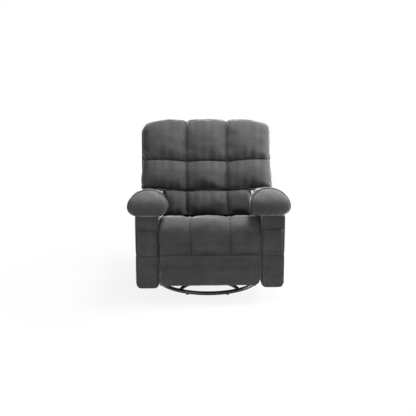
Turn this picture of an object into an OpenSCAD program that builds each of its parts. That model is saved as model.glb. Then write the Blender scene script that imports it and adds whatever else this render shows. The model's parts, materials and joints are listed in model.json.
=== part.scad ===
// Swivel rocker recliner: a padded armchair that turns on a tube ring,
// rocks on two cams, leans back and raises a footrest.
// Millimetres. X to the sitter's left, the front of the chair towards -Y, Z up.
// The origin is on the floor, on the axis that the chair swivels about.

/* [Overall] */
// Width over the two arm pillows
total_w = 1000; // [960:5:1100]
// Depth from the footrest's front to the back's rear top edge
total_d = 931; // [920:1:940]
// Height to the crown of the back
total_h = 1040; // [1030:5:1060]

/* [Base] */
// Outer radius of the floor ring
ring_r_out = 341; // [320:1:360]
// Diameter of the ring's tube
tube_d = 25; // [24:1:28]
// Diameter of the arches' tube
arch_d = 22; // [19:1:23]
// Angle from the front at which an arch tube meets the ring
arch_join_angle = 34.5; // [30:0.5:40]
// Distance from the swivel axis to the apex of an arch tube
arch_apex_y = 118; // [114:1:124]
// Climb of an arch tube from the ring to its apex
arch_rise = 10; // [6:1:12]
// Width of the flat lug welded on an arch tube
lug_w = 70; // [60:1:90]
// Length of the lug along the chair
lug_l = 18; // [16:1:18]
// Height of the lug above the tube
lug_proud = 2.5; // [1.5:0.5:3]
// Number of glides under the ring
glide_count = 8; // [4:1:12]
// Turn of the first glide from the front
glide_start = 20; // [0:1:45]
// Diameter of a glide
glide_d = 20; // [16:1:24]
// Thickness of a glide
glide_h = 3; // [2:0.5:4]

/* [Swivel] */
// Radius of the two swivel plates
plate_r = 140; // [136:1:150]
// Thickness of the swivel plates
plate_t = 4; // [3:0.5:5]
// Gap between the two swivel plates
race_gap = 8; // [7:0.5:8.5]
// Diameter of a bearing ball
ball_d = 9; // [9:0.5:10]
// Number of bearing balls
ball_count = 24; // [16:1:30]
// Radius of the ball race
race_r = 98; // [90:1:100]
// Width of the ball cage
cage_w = 18; // [14:1:20]
// Thickness of the ball cage
cage_t = 2; // [1.5:0.5:3]
// Diameter of the centre pivot
pivot_d = 16; // [12:1:20]
// Thickness of the pivot's head and nut
pivot_head_h = 6; // [4:0.5:8]
// Diameter of the pivot's head and nut
pivot_head_d = 28; // [24:1:34]
// Diameter of the frame bolts
bolt_d = 8; // [6:1:10]
// Height of a frame bolt's head
bolt_head_h = 4; // [3:0.5:4.5]
// Diameter of a frame bolt's head
bolt_head_d = 14; // [12:1:16]

/* [Rocker] */
// Radius that the chair rocks on
rock_r = 320; // [300:5:340]
// Distance from the middle to the middle of a rocker rail
rail_x = 190; // [180:1:200]
// Width of a rocker rail
rail_w = 30; // [26:1:34]
// Height of a rocker rail
rail_h = 22; // [18:1:26]
// Length of a rocker rail
rail_l = 400; // [360:5:420]
// Wall of a rocker rail
rail_wall = 3; // [2:0.5:4]
// Height of a cross bar under the rails
cross_h = 12; // [10:1:16]
// Width of a cross bar
cross_w = 30; // [24:1:36]
// Distance from the axis to a cross bar
cross_y = 110; // [105:1:118]
// Thickness of a rocker cam
cam_t = 22; // [18:1:26]
// Length of a rocker cam
cam_l = 300; // [260:5:330]
// Coil diameter of a rocker spring
spring_d = 34; // [30:1:38]
// Wire diameter of a rocker spring
spring_wire_d = 5; // [4:0.5:6]
// Turns of a rocker spring
spring_turns = 5; // [4:1:6]
// Distance between the two springs of a side
spring_pitch = 84; // [76:1:100]
// Thickness of a spring bracket
spring_bracket_t = 4; // [3:0.5:5]
// Reach of a spring bracket from its rail or cam
spring_bracket_w = 44; // [42:1:50]

/* [Seat] */
// Clear width between the arms
between_arms = 620; // [600:2:640]
// Height of the seat's front top
seat_front_z = 500; // [490:1:510]
// Height of the seat's rear
seat_rear_z = 431; // [425:1:440]
// Distance from the seat cushion's rear end to the back's rear top edge
seat_rear_set = 351.5; // [349.5:0.5:357]
// Width of the middle channel of the seat
channel_w = 242; // [220:1:260]
// Depth of a sewn channel
channel_depth = 12; // [6:1:16]
// Radius of the seat's front roll
roll_r = 39; // [36:0.5:39]
// Height of the seat frame's side rails
frame_rail_h = 60; // [50:1:66]
// Width of the seat frame's side rails
frame_rail_w = 30; // [26:1:34]
// Depth of a cross rail of the seat frame
cross_rail_d = 30; // [24:1:34]
// Top of the seat frame's cross rails
cross_rail_top = 300; // [296:1:302]
// Height of a rocker cam's top
cam_top = 170; // [160:1:180]
// Wire of the seat and back springs
zig_wire = 3.6; // [3:0.2:4]
// Width of the spring's bends
zig_w = 50; // [46:1:54]
// Bends in a seat or back spring
zig_bends = 14; // [13:1:16]
// Number of springs side by side in the seat, and one over another in the back
zig_count = 5; // [4:1:6]
// Distance between two springs
zig_pitch = 96; // [90:1:100]
// Distance from the torque tube to the middle cross rail's front
middle_rail_step = 90; // [85:1:95]
// Distance from the rear cross rail's rear to the back's rear top edge
rear_rail_set = 285.5; // [284:0.5:289]
// Thickness of the mechanism side plates
mech_t = 4; // [3:0.5:5]

/* [Arms] */
// Width of an arm's body
arm_w = 140; // [130:1:150]
// Height of the arm body's underside
arm_bottom = 88; // [80:1:100]
// Height of the arm body's top
arm_top = 518; // [515:1:530]
// Distance from the footrest's front back to the arm's front panel
arm_front_set = 25.5; // [22:0.5:35]
// Distance from the arm's rear end to the back's rear top edge
arm_rear_set = 127.5; // [126:0.5:131]
// Radius of the arm's lower corners
arm_corner_r = 30; // [20:1:40]
// Thickness of the arm's padded cover
cover_t = 6; // [4:0.5:8]
// Thickness of the arm's boards
board_t = 18; // [15:1:20]
// Inner side of an arm pillow
pillow_in = 254; // [250:1:262]
// Height of an arm pillow's widest line
pillow_mid_z = 588; // [580:1:596]
// Height of an arm pillow's top in front
pillow_top = 702; // [690:1:710]
// Height of an arm pillow's top at the rear
pillow_rear_top = 592; // [585:1:640]
// Height of an arm pillow's widest line at the rear
pillow_rear_mid_z = 556; // [545:1:580]
// Distance from the footrest's front back to a pillow's front
pillow_front_set = 3.5; // [1.5:0.5:10]
// Distance from a pillow's rear end to the back's rear top edge
pillow_rear_set = 327.5; // [326:0.5:335]
// Step from the arm's edges to its front pocket
pocket_inset = 12; // [10:1:16]
// Height of a front pocket's mouth
pocket_top = 446; // [430:1:460]
// Height of the sewn line across the arms and the footrest
belt_z = 297; // [290:1:305]
// Depth of a front pocket
pocket_d = 9; // [8:0.5:12]
// Thickness of a front pocket's fabric
pocket_t = 3; // [2:0.5:3]

/* [Release handle] */
// Length of the release handle's cup
cup_l = 110; // [100:1:120]
// Height of the cup
cup_h = 66; // [60:1:72]
// Depth of the cup
cup_d = 30; // [26:1:36]
// Wall of the cup
cup_wall = 2.5; // [2:0.5:3]
// Width of the cup's rim
cup_rim = 8; // [6:1:10]
// Distance from the axis to the cup's middle, towards the front
cup_y = 170; // [150:5:200]
// Height of the cup's middle
cup_z = 435; // [425:1:445]
// Height of the paddle
paddle_h = 38; // [34:1:40]
// Thickness of the paddle
paddle_t = 6; // [5:0.5:7]
// Diameter of the paddle's pin
paddle_pin_d = 4; // [3:0.5:5]
// Distance from the release cable's end to the middle cross rail
latch_reach = 15; // [12:1:20]
// Diameter of the release cable
cable_d = 6; // [5:0.5:7]

/* [Footrest] */
// Distance from the footrest's front back to its swing centre
hinge_set = 40.5; // [40:0.5:41]
// Underside of the closed footrest
footrest_bottom = 100; // [95:1:110]
// Width of the footrest
footrest_w = 612; // [590:2:612]
// Thickness of the footrest with its board
footrest_t = 80.5; // [76:0.5:82]
// Thickness of the footrest's board
footrest_board_t = 18; // [15:1:20]
// Height of the board's top edge
footrest_board_top = 385; // [370:5:388]
// Corner radius of the footrest
footrest_corner_r = 40; // [30:1:50]
// Thickness of the footrest's link bars
link_t = 5; // [4:0.5:5]
// Width of the footrest's link bars
link_w = 24; // [20:1:26]
// Diameter of the link pins
link_pin_d = 10; // [8:1:12]
// Height of the footrest's link pin when it is closed
footrest_pin_z = 310; // [306:1:316]
// Distance from the footrest's swing centre back to the torque tube
torque_set = 160; // [155:1:165]
// Height of the torque tube
torque_z = 288; // [284:1:289]
// Diameter of the torque tube
torque_d = 18; // [16:1:19]

/* [Back] */
// Distance from the recline pivot to the back's rear top edge
recline_set = 275.5; // [272:0.5:277]
// Height of the recline pivot
recline_z = 330; // [328:1:334]
// Half the width of the back over the arms
wing_hw = 445; // [440:1:458]
// Distance from the back cushion's lower part to an arm
waist_set = 13; // [13:0.5:20]
// Distance from the back's case to an arm
case_set = 12; // [12:0.5:18]
// Underside of the back cushion's wings
wing_z = 573; // [572:0.5:574]
// Underside of the case's wings, at the rear face
case_wing_z = 536; // [530:1:545]
// Width of the back's middle column
column_w = 274; // [260:1:290]
// Height of the lower row of tufts
row_low_z = 576; // [570:1:585]
// Height of the upper row of tufts
row_high_z = 757; // [750:1:765]
// Radius of the back cushion's top edge
back_top_r = 50; // [40:1:52]
// Swell of a cushion between its seams
swell = 26; // [16:1:30]
// Underside of the back cushion
back_bottom_z = 428; // [424:1:432]
// Distance from the back cushion's front at its underside to the back's rear top edge
back_front_set = 353.5; // [350:0.5:355]
// Lean of the back's front, in degrees
front_lean = 18.4; // [17.5:0.1:19]
// Drop from the back's crown to the case's rear top edge
case_top_drop = 51; // [46:1:58]
// Distance from the case's rear lower edge to the arms' rear end
case_foot_set = 20; // [18:1:24]
// Height of the case's rear lower edge
case_bottom_z = 270; // [266:1:280]
// Depth of the back's case
case_d = 45; // [42:1:48]
// Wall of the back's case
case_t = 4; // [3:0.5:5]
// Radius of the case's upper corners
case_corner_r = 70; // [60:1:80]
// Width of the back's posts
post_w = 35; // [30:1:38]
// Height of the back's rails
back_rail_h = 50; // [44:1:54]
// Diameter of the recline pivot pins
recline_pin_d = 14; // [12:1:16]
// Height of the rear skirt's top edge
skirt_top = 258; // [250:1:260]
// Height of the rear skirt's lower edge
skirt_bottom = 150; // [145:1:160]

/* [Hidden] */

// Gap between soft pieces and their neighbours, and between moving faces
gap = 0.3;
// Radial clearance of a running fit
run = 0.05;
// Overrun of a cut past a face
over = 1;
// Gap between bars and plates that pass each other
play = 1;
left = 1;
right = -1;

// Heights of the base and the turntable, from the floor up
ring_z = glide_h + tube_d / 2;
ring_r = ring_r_out - tube_d / 2;
arch_apex_z = ring_z + arch_rise;
lower_plate_z = arch_apex_z + arch_d / 2 + lug_proud;
race_z = lower_plate_z + plate_t + race_gap / 2;
upper_plate_z = race_z + race_gap / 2;
cross_z = upper_plate_z + plate_t;
rail_z = cross_z + cross_h;
rail_top = rail_z + rail_h;
rock_z = rail_top + rock_r;

// Places along the depth, from the overall front and rear
half_d = total_d / 2;
arm_front = half_d - arm_front_set;
arm_rear = half_d - arm_rear_set;
pillow_front = half_d - pillow_front_set;
pillow_rear = half_d - pillow_rear_set;
seat_rear_y = half_d - seat_rear_set;
rear_rail_y = half_d - rear_rail_set;
recline_y = half_d - recline_set;
back_front_y = half_d - back_front_set;
hinge_y = half_d - hinge_set;
torque_y = hinge_y - torque_set;
middle_rail_y = torque_y - middle_rail_step;

// Swing centre of the footrest, and the pins of the links that follow it
front_y = -half_d;
swing_z = seat_front_z - roll_r - play;
board_back_y = front_y + footrest_t;
footrest_pin_y = board_back_y + link_pin_d;
lift_pin_y = -torque_y + footrest_pin_y + hinge_y;
lift_pin_z = torque_z + footrest_pin_z - swing_z;

// Planes beside the seat, from the arms inwards
arm_in = between_arms / 2;
waist_hw = arm_in - waist_set;
case_hw = arm_in - case_set;
arm_out = arm_in + arm_w;
mech_x = arm_in - 2 * gap - mech_t;
lift_x = mech_x - play - link_t;
coupler_x = lift_x - play - link_t;
bracket_x = coupler_x - play - link_t;

// Seat frame
frame_front_y = footrest_pin_y;
frame_l = rear_rail_y - frame_front_y;
cross_rail_z = cam_top + frame_rail_h;
cushion_bottom = cross_rail_top + zig_wire + gap;
mech_low_z = cross_rail_z + bolt_d;
mech_high_z = cross_rail_top + play;
mech_front_y = -torque_y - link_w;
bolt_z = mech_low_z + bolt_head_d;
rail_space = [cross_rail_d - middle_rail_y, rear_rail_y - cross_rail_d];
bolt_ys = [rail_space[0] + bolt_head_d, (rail_space[0] + rail_space[1]) / 2,
    rail_space[1] - 3 * bolt_head_d];

// Back
case_top_z = total_h - case_top_drop;
rear_lean = atan((case_foot_set + arm_rear_set) / (case_top_z - case_bottom_z));
case_l = (case_top_z - case_bottom_z) / cos(rear_lean);
wing_local_z = (case_wing_z - case_top_z) / cos(rear_lean);
post_x = case_hw - case_t - post_w;
spring_plane = -case_d - zig_wire;

// Point of the chair, in depth and height, for a point of the case's own frame
function case_point(y, z) = [
    half_d + y * cos(rear_lean) + z * sin(rear_lean),
    case_top_z - y * sin(rear_lean) + z * cos(rear_lean)
];

function lerp(a, b, t) = a + (b - a) * t;
function clamp(t) = max(0, min(1, t));
function smooth(t) = clamp(t) * clamp(t) * (3 - 2 * clamp(t));
function notch(d, w) = exp(-pow(d / w, 2));
function signed_pow(v, p) = sign(v) * pow(abs(v), p);
function crown(t, p) = 1 - pow(abs(2 * t - 1), p);
function mean(points) = [for (k = [0 : 2]) let (c = [for (p = points) p[k]]) c * [for (q = c) 1] / len(c)];

// A closed skin over a list of loops, each with the same number of points
module skin(loops) {
    n = len(loops);
    m = len(loops[0]);
    points = concat([for (loop = loops) each loop], [mean(loops[0]), mean(loops[n - 1])]);
    sides = [for (i = [0 : n - 2], j = [0 : m - 1])
        let (a = i * m + j, b = i * m + (j + 1) % m)
        each [[a, b, a + m], [b, b + m, a + m]]];
    ends = [for (j = [0 : m - 1])
        let (k = (j + 1) % m, e = (n - 1) * m)
        each [[n * m, k, j], [n * m + 1, e + j, e + k]]];
    polyhedron(points, concat(sides, ends), convexity = 10);
}

// A round wire or cable along a path
function unit(v) = v / norm(v);
function ring(p, t, ref, r, sides) = let (a = unit(cross(ref, t)), b = unit(cross(t, a)))
    [for (k = [0 : sides - 1]) p + r * (a * cos(360 * k / sides) + b * sin(360 * k / sides))];
module sweep(path, r, sides, ref) {
    n = len(path);
    skin([for (i = [0 : n - 1])
        ring(path[i], unit(path[min(i + 1, n - 1)] - path[max(i - 1, 0)]), ref, r, sides)]);
}

module on_side(side) {
    if (side == left) children();
    else mirror([1, 0, 0]) children();
}

// A plate in the depth and height plane, from x over the thickness t
module upright_plate(x, t) {
    translate([x, 0, 0]) rotate([90, 0, 90]) linear_extrude(t) children();
}

// A flat bar between two round eyes
module bar(p, q, w) {
    d = q - p;
    translate(p) circle(d = w, $fn = 64);
    translate(q) circle(d = w, $fn = 64);
    translate(p) rotate(atan2(d[1], d[0])) translate([0, play - w / 2]) square([norm(d), w - 2 * play]);
}

module hole(p, r) {
    translate(p) circle(r = r, $fn = 64);
}

// A pin along x, at a point of the depth and height plane
module cross_pin(x, p, l, r) {
    translate([x, p[0], p[1]]) rotate([0, 90, 0]) cylinder(h = l, r = r, $fn = 64);
}

// Base

module ring_solid(r) {
    translate([0, 0, ring_z]) rotate_extrude($fn = 128) translate([ring_r, 0]) circle(r = r, $fn = 48);
}

module ring_tube() {
    color("#161616") ring_solid(tube_d / 2);
}

arch_half_w = ring_r * sin(arch_join_angle);
arch_depth = norm([ring_r * cos(arch_join_angle) - arch_apex_y, arch_rise]);
arch_r = (pow(arch_half_w, 2) + pow(arch_depth, 2)) / (2 * arch_depth);
arch_tilt = atan(arch_rise / (ring_r * cos(arch_join_angle) - arch_apex_y));
arch_sweep = 2 * asin(arch_half_w / arch_r);

module arch_tube() {
    difference() {
        union() {
            translate([0, -arch_apex_y, arch_apex_z]) rotate([arch_tilt, 0, 0])
                translate([0, -arch_r, 0]) rotate([0, 0, 90 - arch_sweep / 2])
                rotate_extrude(angle = arch_sweep, $fn = 128)
                translate([arch_r, 0]) circle(d = arch_d, $fn = 48);
            translate([-lug_w / 2, -arch_apex_y - lug_l / 2, arch_apex_z])
                cube([lug_w, lug_l, lower_plate_z - arch_apex_z]);
        }
        ring_solid(tube_d / 2);
        for (x = lug_bolt_x) translate([x, -arch_apex_y, ring_z])
            cylinder(d = bolt_d + 2 * run, h = lower_plate_z - ring_z + over, $fn = 48);
    }
}

lug_bolt_x = [-lug_w / 2 + lug_l / 2, lug_w / 2 - lug_l / 2];

module front_arch_tube() {
    color("#161616") arch_tube();
}

module rear_arch_tube() {
    color("#161616") mirror([0, 1, 0]) arch_tube();
}

module floor_glides() {
    color("#202020") for (k = [0 : glide_count - 1])
        rotate([0, 0, glide_start + 360 * k / glide_count])
        translate([0, -ring_r, 0]) difference() {
            cylinder(d = glide_d, h = glide_h + tube_d / 4, $fn = 48);
            translate([0, ring_r, 0]) ring_solid(tube_d / 2);
        }
}

// Swivel

module race_groove() {
    translate([0, 0, race_z]) rotate_extrude($fn = 128)
        translate([race_r, 0]) circle(r = ball_d / 2 + run, $fn = 48);
}

module swivel_lower_plate() {
    color("#2b2b2d") difference() {
        translate([0, 0, lower_plate_z]) cylinder(r = plate_r, h = plate_t, $fn = 128);
        race_groove();
        translate([0, 0, lower_plate_z - over])
            cylinder(d = pivot_d + 2 * run, h = plate_t + 2 * over, $fn = 64);
        for (s = [-1, 1], x = lug_bolt_x) translate([x, s * arch_apex_y, lower_plate_z - over])
            cylinder(d = bolt_d + 2 * run, h = plate_t + 2 * over, $fn = 48);
    }
}

module swivel_bolts() {
    color("#8d8f92") for (s = [-1, 1], x = lug_bolt_x) translate([x, s * arch_apex_y, 0]) {
        translate([0, 0, ring_z]) cylinder(d = bolt_d, h = lower_plate_z + plate_t - ring_z, $fn = 48);
        translate([0, 0, lower_plate_z + plate_t]) cylinder(d = bolt_head_d, h = bolt_head_h, $fn = 6);
    }
}

module swivel_pivot() {
    nut_z = cross_z + gap;
    color("#8d8f92") {
        translate([0, 0, lower_plate_z - pivot_head_h])
            cylinder(d = pivot_head_d, h = pivot_head_h, $fn = 6);
        translate([0, 0, lower_plate_z]) cylinder(d = pivot_d, h = nut_z - lower_plate_z, $fn = 64);
        translate([0, 0, nut_z]) cylinder(d = pivot_head_d, h = pivot_head_h, $fn = 6);
    }
}

module bearing_balls() {
    color("#b9bcc0") for (k = [0 : ball_count - 1]) rotate([0, 0, 360 * k / ball_count])
        translate([race_r, 0, race_z]) sphere(d = ball_d, $fn = 32);
}

module ball_cage() {
    color("#c9b98a") translate([0, 0, race_z - cage_t / 2]) difference() {
        cylinder(r = race_r + cage_w / 2, h = cage_t, $fn = 128);
        translate([0, 0, -over]) cylinder(r = race_r - cage_w / 2, h = cage_t + 2 * over, $fn = 128);
        for (k = [0 : ball_count - 1]) rotate([0, 0, 360 * k / ball_count])
            translate([race_r, 0, -over]) cylinder(d = ball_d + 2 * run, h = cage_t + 2 * over, $fn = 48);
    }
}

cross_bolt_x = plate_r / 2.5;

module cross_bolt_holes(z, h) {
    for (s = [-1, 1], x = [-1, 1]) translate([x * cross_bolt_x, s * cross_y, z])
        cylinder(d = bolt_d + 2 * run, h = h, $fn = 48);
}

module swivel_upper_plate() {
    color("#2b2b2d") difference() {
        translate([0, 0, upper_plate_z]) cylinder(r = plate_r, h = plate_t, $fn = 128);
        race_groove();
        translate([0, 0, upper_plate_z - over])
            cylinder(d = pivot_d + 2 * run, h = plate_t + 2 * over, $fn = 64);
        cross_bolt_holes(upper_plate_z - over, plate_t + 2 * over);
    }
}

module cross_bar(s) {
    half_l = rail_x + rail_w / 2;
    difference() {
        translate([-half_l, s * cross_y - cross_w / 2, cross_z]) cube([2 * half_l, cross_w, cross_h]);
        cross_bolt_holes(cross_z - over, cross_h + 2 * over);
    }
}

module front_cross_bar() {
    color("#1d1d1f") cross_bar(-1);
}

module rear_cross_bar() {
    color("#1d1d1f") cross_bar(1);
}

module cross_bar_bolts() {
    color("#8d8f92") for (s = [-1, 1], x = [-1, 1]) translate([x * cross_bolt_x, s * cross_y, 0]) {
        translate([0, 0, upper_plate_z]) cylinder(d = bolt_d, h = rail_z - upper_plate_z, $fn = 48);
        translate([0, 0, rail_z]) cylinder(d = bolt_head_d, h = bolt_head_h, $fn = 6);
    }
}

// Rocker

spring_x = rail_x - rail_w / 2 - spring_bracket_w / 2;
spring_z = rail_z + spring_bracket_t;
upper_bracket_z = cam_top - spring_bracket_t;

module spring_bracket(x_to, z) {
    translate([spring_x - spring_bracket_w / 2, -spring_pitch, z])
        cube([x_to - spring_x + spring_bracket_w / 2, 2 * spring_pitch, spring_bracket_t]);
}

module rocker_rail() {
    color("#1d1d1f") union() {
        difference() {
            translate([rail_x - rail_w / 2, -rail_l / 2, rail_z]) cube([rail_w, rail_l, rail_h]);
            translate([rail_x - rail_w / 2 + rail_wall, -rail_l / 2 - over, rail_z - over])
                cube([rail_w - 2 * rail_wall, rail_l + 2 * over, rail_h - rail_wall + over]);
        }
        spring_bracket(rail_x - rail_w / 2 + rail_wall, rail_z);
    }
}

module left_rocker_rail() {
    on_side(left) rocker_rail();
}

module right_rocker_rail() {
    on_side(right) rocker_rail();
}

module rocker_springs() {
    r = (spring_d - spring_wire_d) / 2;
    rise = upper_bracket_z - spring_z - spring_wire_d - 2 * gap;
    steps = 8 * spring_turns;
    color("#5d5f63") for (s = [-1, 1]) translate([spring_x, s * spring_pitch / 2, spring_z])
        sweep([for (k = [0 : steps]) [
            r * cos(45 * k), r * sin(45 * k), spring_wire_d / 2 + gap + rise * k / steps
        ]], spring_wire_d / 2, 6, [0, 0, 1]);
}

module left_rocker_springs() {
    on_side(left) rocker_springs();
}

module right_rocker_springs() {
    on_side(right) rocker_springs();
}

module rocker_cam() {
    color("#a9855a") union() {
        intersection() {
            translate([rail_x - cam_t / 2, 0, rock_z]) rotate([0, 90, 0])
                cylinder(r = rock_r - gap, h = cam_t, $fn = 256);
            translate([rail_x - cam_t, -cam_l / 2, rail_top]) cube([2 * cam_t, cam_l, cam_top - rail_top]);
        }
        spring_bracket(rail_x, upper_bracket_z);
    }
}

module left_rocker_cam() {
    on_side(left) rocker_cam();
}

module right_rocker_cam() {
    on_side(right) rocker_cam();
}

// Seat frame

module frame_rail() {
    color("#b08b5e") translate([rail_x - frame_rail_w / 2, frame_front_y, cam_top])
        cube([frame_rail_w, frame_l, frame_rail_h]);
}

module left_frame_rail() {
    on_side(left) frame_rail();
}

module right_frame_rail() {
    on_side(right) frame_rail();
}

module cross_rail(half_l, y) {
    color("#b08b5e") translate([-half_l, y, cross_rail_z])
        cube([2 * half_l, cross_rail_d, cross_rail_top - cross_rail_z]);
}

module front_cross_rail() {
    cross_rail(bracket_x - 3 * play, frame_front_y);
}

module middle_cross_rail() {
    cross_rail(mech_x, -middle_rail_y);
}

module rear_cross_rail() {
    cross_rail(mech_x, rear_rail_y - cross_rail_d);
}

// A flat wire bent to and fro, along x from 0 to l
module zigzag(l) {
    pitch = l / zig_bends;
    straight = zig_w - pitch - zig_wire;
    for (k = [0 : zig_bends]) translate([pitch * k - zig_wire / 2, -straight / 2])
        square([zig_wire, straight]);
    for (k = [0 : zig_bends - 1]) {
        s = k % 2 == 0 ? 1 : -1;
        translate([pitch * (k + 0.5), s * straight / 2]) difference() {
            circle(d = pitch + zig_wire, $fn = 32);
            circle(d = pitch - zig_wire, $fn = 32);
            translate([-pitch, s > 0 ? -2 * pitch : 0]) square([2 * pitch, 2 * pitch]);
        }
    }
}

module seat_springs() {
    l = frame_l - cross_rail_d;
    color("#77797d") for (k = [0 : zig_count - 1])
        translate([(k - (zig_count - 1) / 2) * zig_pitch, frame_front_y + cross_rail_d / 2, cross_rail_top])
        rotate([0, 0, 90]) linear_extrude(zig_wire) zigzag(l);
}

module mechanism_plate() {
    color("#2f3033") difference() {
        upright_plate(mech_x, mech_t) difference() {
            union() {
                translate([mech_front_y, mech_low_z])
                    square([recline_y + link_w - mech_front_y, mech_high_z - mech_low_z]);
                bar([recline_y, mech_low_z + link_w], [recline_y, recline_z], 2 * link_w);
            }
            hole([-torque_y, torque_z], torque_d / 3 + run);
            hole([recline_y, recline_z], recline_pin_d / 2 + run);
            for (y = bolt_ys) hole([y, bolt_z], bolt_d / 2 + run);
            hole([cable_end_y, cable_end_z], cable_d / 2 + gap);
        }
    }
}

module left_mechanism_plate() {
    on_side(left) mechanism_plate();
}

module right_mechanism_plate() {
    on_side(right) mechanism_plate();
}

module arm_bolts() {
    color("#8d8f92") for (side = [left, right], y = bolt_ys) on_side(side) {
        cross_pin(mech_x, [y, bolt_z], mech_t + 2 * gap + cover_t + board_t, bolt_d / 2);
        cross_pin(mech_x - bolt_head_h, [y, bolt_z], bolt_head_h, bolt_head_d / 2);
    }
}

// Three columns, as pairs of a share across a column and an x place, for a
// middle column of the width mid in a cushion of the half width hw
column_shares = [0, 0.04, 0.12, 0.3, 0.5, 0.7, 0.88, 0.96];
function columns(mid, hw) = let (edges = [-hw, -mid / 2, mid / 2, hw]) concat(
    [for (c = [0 : 2], share = column_shares) [share, lerp(edges[c], edges[c + 1], share)]],
    [[1, hw]]);

// How far the cushion's outer edge is drawn in, from 0 to 1
function edge(x, hw, r) = pow(clamp((abs(x) - hw + r) / r), 2);

// Seat cushion: a front roll, a top that falls to the rear, three sewn channels
seat_hw = arm_in - gap;
seat_edge = channel_depth;
roll_angles = [310, 280, 250, 220, 190, 160, 130, 105];
seat_top_shares = [0.06, 0.2, 0.4, 0.6, 0.8, 0.94, 1];
seat_wall_y = frame_front_y + link_w;

function seat_loop(t, x) = let (
    d = channel_depth * (crown(t, 4) - 1) - seat_edge * edge(x, seat_hw, 2 * seat_edge),
    r = roll_r + d,
    roll = [for (a = roll_angles) [x, r * cos(a) - hinge_y, r * sin(a) + swing_z]],
    top = [for (s = seat_top_shares) [
        x,
        lerp(-hinge_y, seat_rear_y, s),
        lerp(swing_z + roll_r, seat_rear_z, s) + d - 2 * channel_depth * pow(s, 16)
    ]])
    concat(roll, top, [
        [x, seat_rear_y - channel_depth, cushion_bottom],
        [x, seat_wall_y, cushion_bottom],
        [x, seat_wall_y, swing_z - roll_r - gap]
    ]);

module seat_cushion() {
    color("#4b4b4a") skin([for (c = columns(channel_w, seat_hw)) seat_loop(c[0], c[1])]);
}

// Arms

module arm_profile(inset) {
    translate([arm_in + inset, arm_bottom + arm_corner_r])
        square([arm_w - 2 * inset, arm_top - inset - arm_bottom - arm_corner_r]);
    translate([arm_in + arm_corner_r, arm_bottom + inset])
        square([arm_w - 2 * arm_corner_r, arm_corner_r]);
    for (x = [arm_in + arm_corner_r, arm_out - arm_corner_r])
        translate([x, arm_bottom + arm_corner_r]) circle(r = arm_corner_r - inset, $fn = 64);
}

module arm_length(y_front, y_rear) {
    translate([0, y_rear, 0]) rotate([90, 0, 0]) linear_extrude(y_rear - y_front) children();
}

cup_z_low = cup_z - cup_h / 2;
cup_y_low = -cup_y - cup_l / 2;

module arm_cover(side) {
    difference() {
        arm_length(-arm_front, arm_rear) arm_profile(0);
        arm_length(cover_t - arm_front, arm_rear - cover_t) arm_profile(cover_t);
        for (y = bolt_ys)
            cross_pin(arm_in - over, [y, bolt_z], cover_t + 2 * over, bolt_d / 2 + run);
        if (side == right) {
            translate([arm_out - 2 * cover_t, cup_y_low - gap, cup_z_low - gap])
                cube([3 * cover_t, cup_l + 2 * gap, cup_h + 2 * gap]);
            cross_pin(arm_in - over, [cable_end_y, cable_end_z], cover_t + 2 * over, cable_d / 2 + gap);
        }
    }
}

module left_arm_cover() {
    color("#454544") on_side(left) arm_cover(left);
}

module right_arm_cover() {
    color("#454544") on_side(right) arm_cover(right);
}

module arm_frame() {
    x_in = arm_in + cover_t;
    x_w = arm_w - 2 * cover_t;
    y_f = cover_t - arm_front;
    y_l = arm_front + arm_rear - 2 * cover_t;
    low = arm_bottom + arm_corner_r;
    top = arm_top - cover_t;
    color("#b9966a") difference() {
        union() {
            translate([x_in, y_f, top - board_t]) cube([x_w, y_l, board_t]);
            translate([x_in, y_f, low]) cube([x_w, board_t, top - low]);
            translate([x_in, y_f + y_l - board_t, low]) cube([x_w, board_t, top - low]);
            translate([x_in, y_f, low]) cube([board_t, y_l, bolt_z + board_t / 2 - low]);
            translate([x_in + x_w - board_t, y_f, low]) cube([board_t, y_l, 3 * board_t]);
        }
        for (y = bolt_ys)
            cross_pin(x_in - over, [y, bolt_z], board_t + 2 * over, bolt_d / 2 + run);
    }
}

module left_arm_frame() {
    on_side(left) arm_frame();
}

module right_arm_frame() {
    on_side(right) arm_frame();
}

// Arm pillow: places along it, as shares of its length, and the size of its
// section there, as shares of the full section
pillow_place_shares = [0, 0.004, 0.012, 0.022, 0.03, 0.045, 0.1, 0.25, 0.5, 0.75, 0.93, 0.985, 1];
pillow_size_shares = [0.5, 0.72, 0.88, 0.95, 0.93, 0.99, 1, 0.99, 0.98, 0.97, 0.94, 0.85, 0.7];
pillow_taper = 18;
pillow_taper_start_share = 0.12;
pillow_sides = 24;

function pillow_loop(place, size) = let (
    y = lerp(-pillow_front, pillow_rear, place),
    slim = smooth((place - pillow_taper_start_share) * 3),
    lean = tan(front_lean) * smooth(2 * place - 1),
    x_in = pillow_in + pillow_taper * slim,
    x_out = total_w / 2 - pillow_taper / 2 * slim,
    mid_z = lerp(pillow_mid_z, pillow_rear_mid_z, place),
    top = lerp(pillow_top, pillow_rear_top, place) - mid_z,
    low = mid_z - arm_top - gap)
    [for (k = [0 : pillow_sides - 1]) let (
        a = 360 * k / pillow_sides,
        up = sin(a) > 0,
        rise = size * signed_pow(sin(a), 0.9) * (up ? top : low)) [
        lerp(x_in, x_out, 0.5 + size * signed_pow(cos(a), up ? 0.85 : 0.7) / 2),
        y + lean * rise,
        mid_z + rise
    ]];

module arm_pillow() {
    skin([for (k = [0 : len(pillow_place_shares) - 1])
        pillow_loop(pillow_place_shares[k], pillow_size_shares[k])]);
}

module left_arm_pillow() {
    color("#505050") on_side(left) arm_pillow();
}

module right_arm_pillow() {
    color("#505050") on_side(right) arm_pillow();
}

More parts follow.
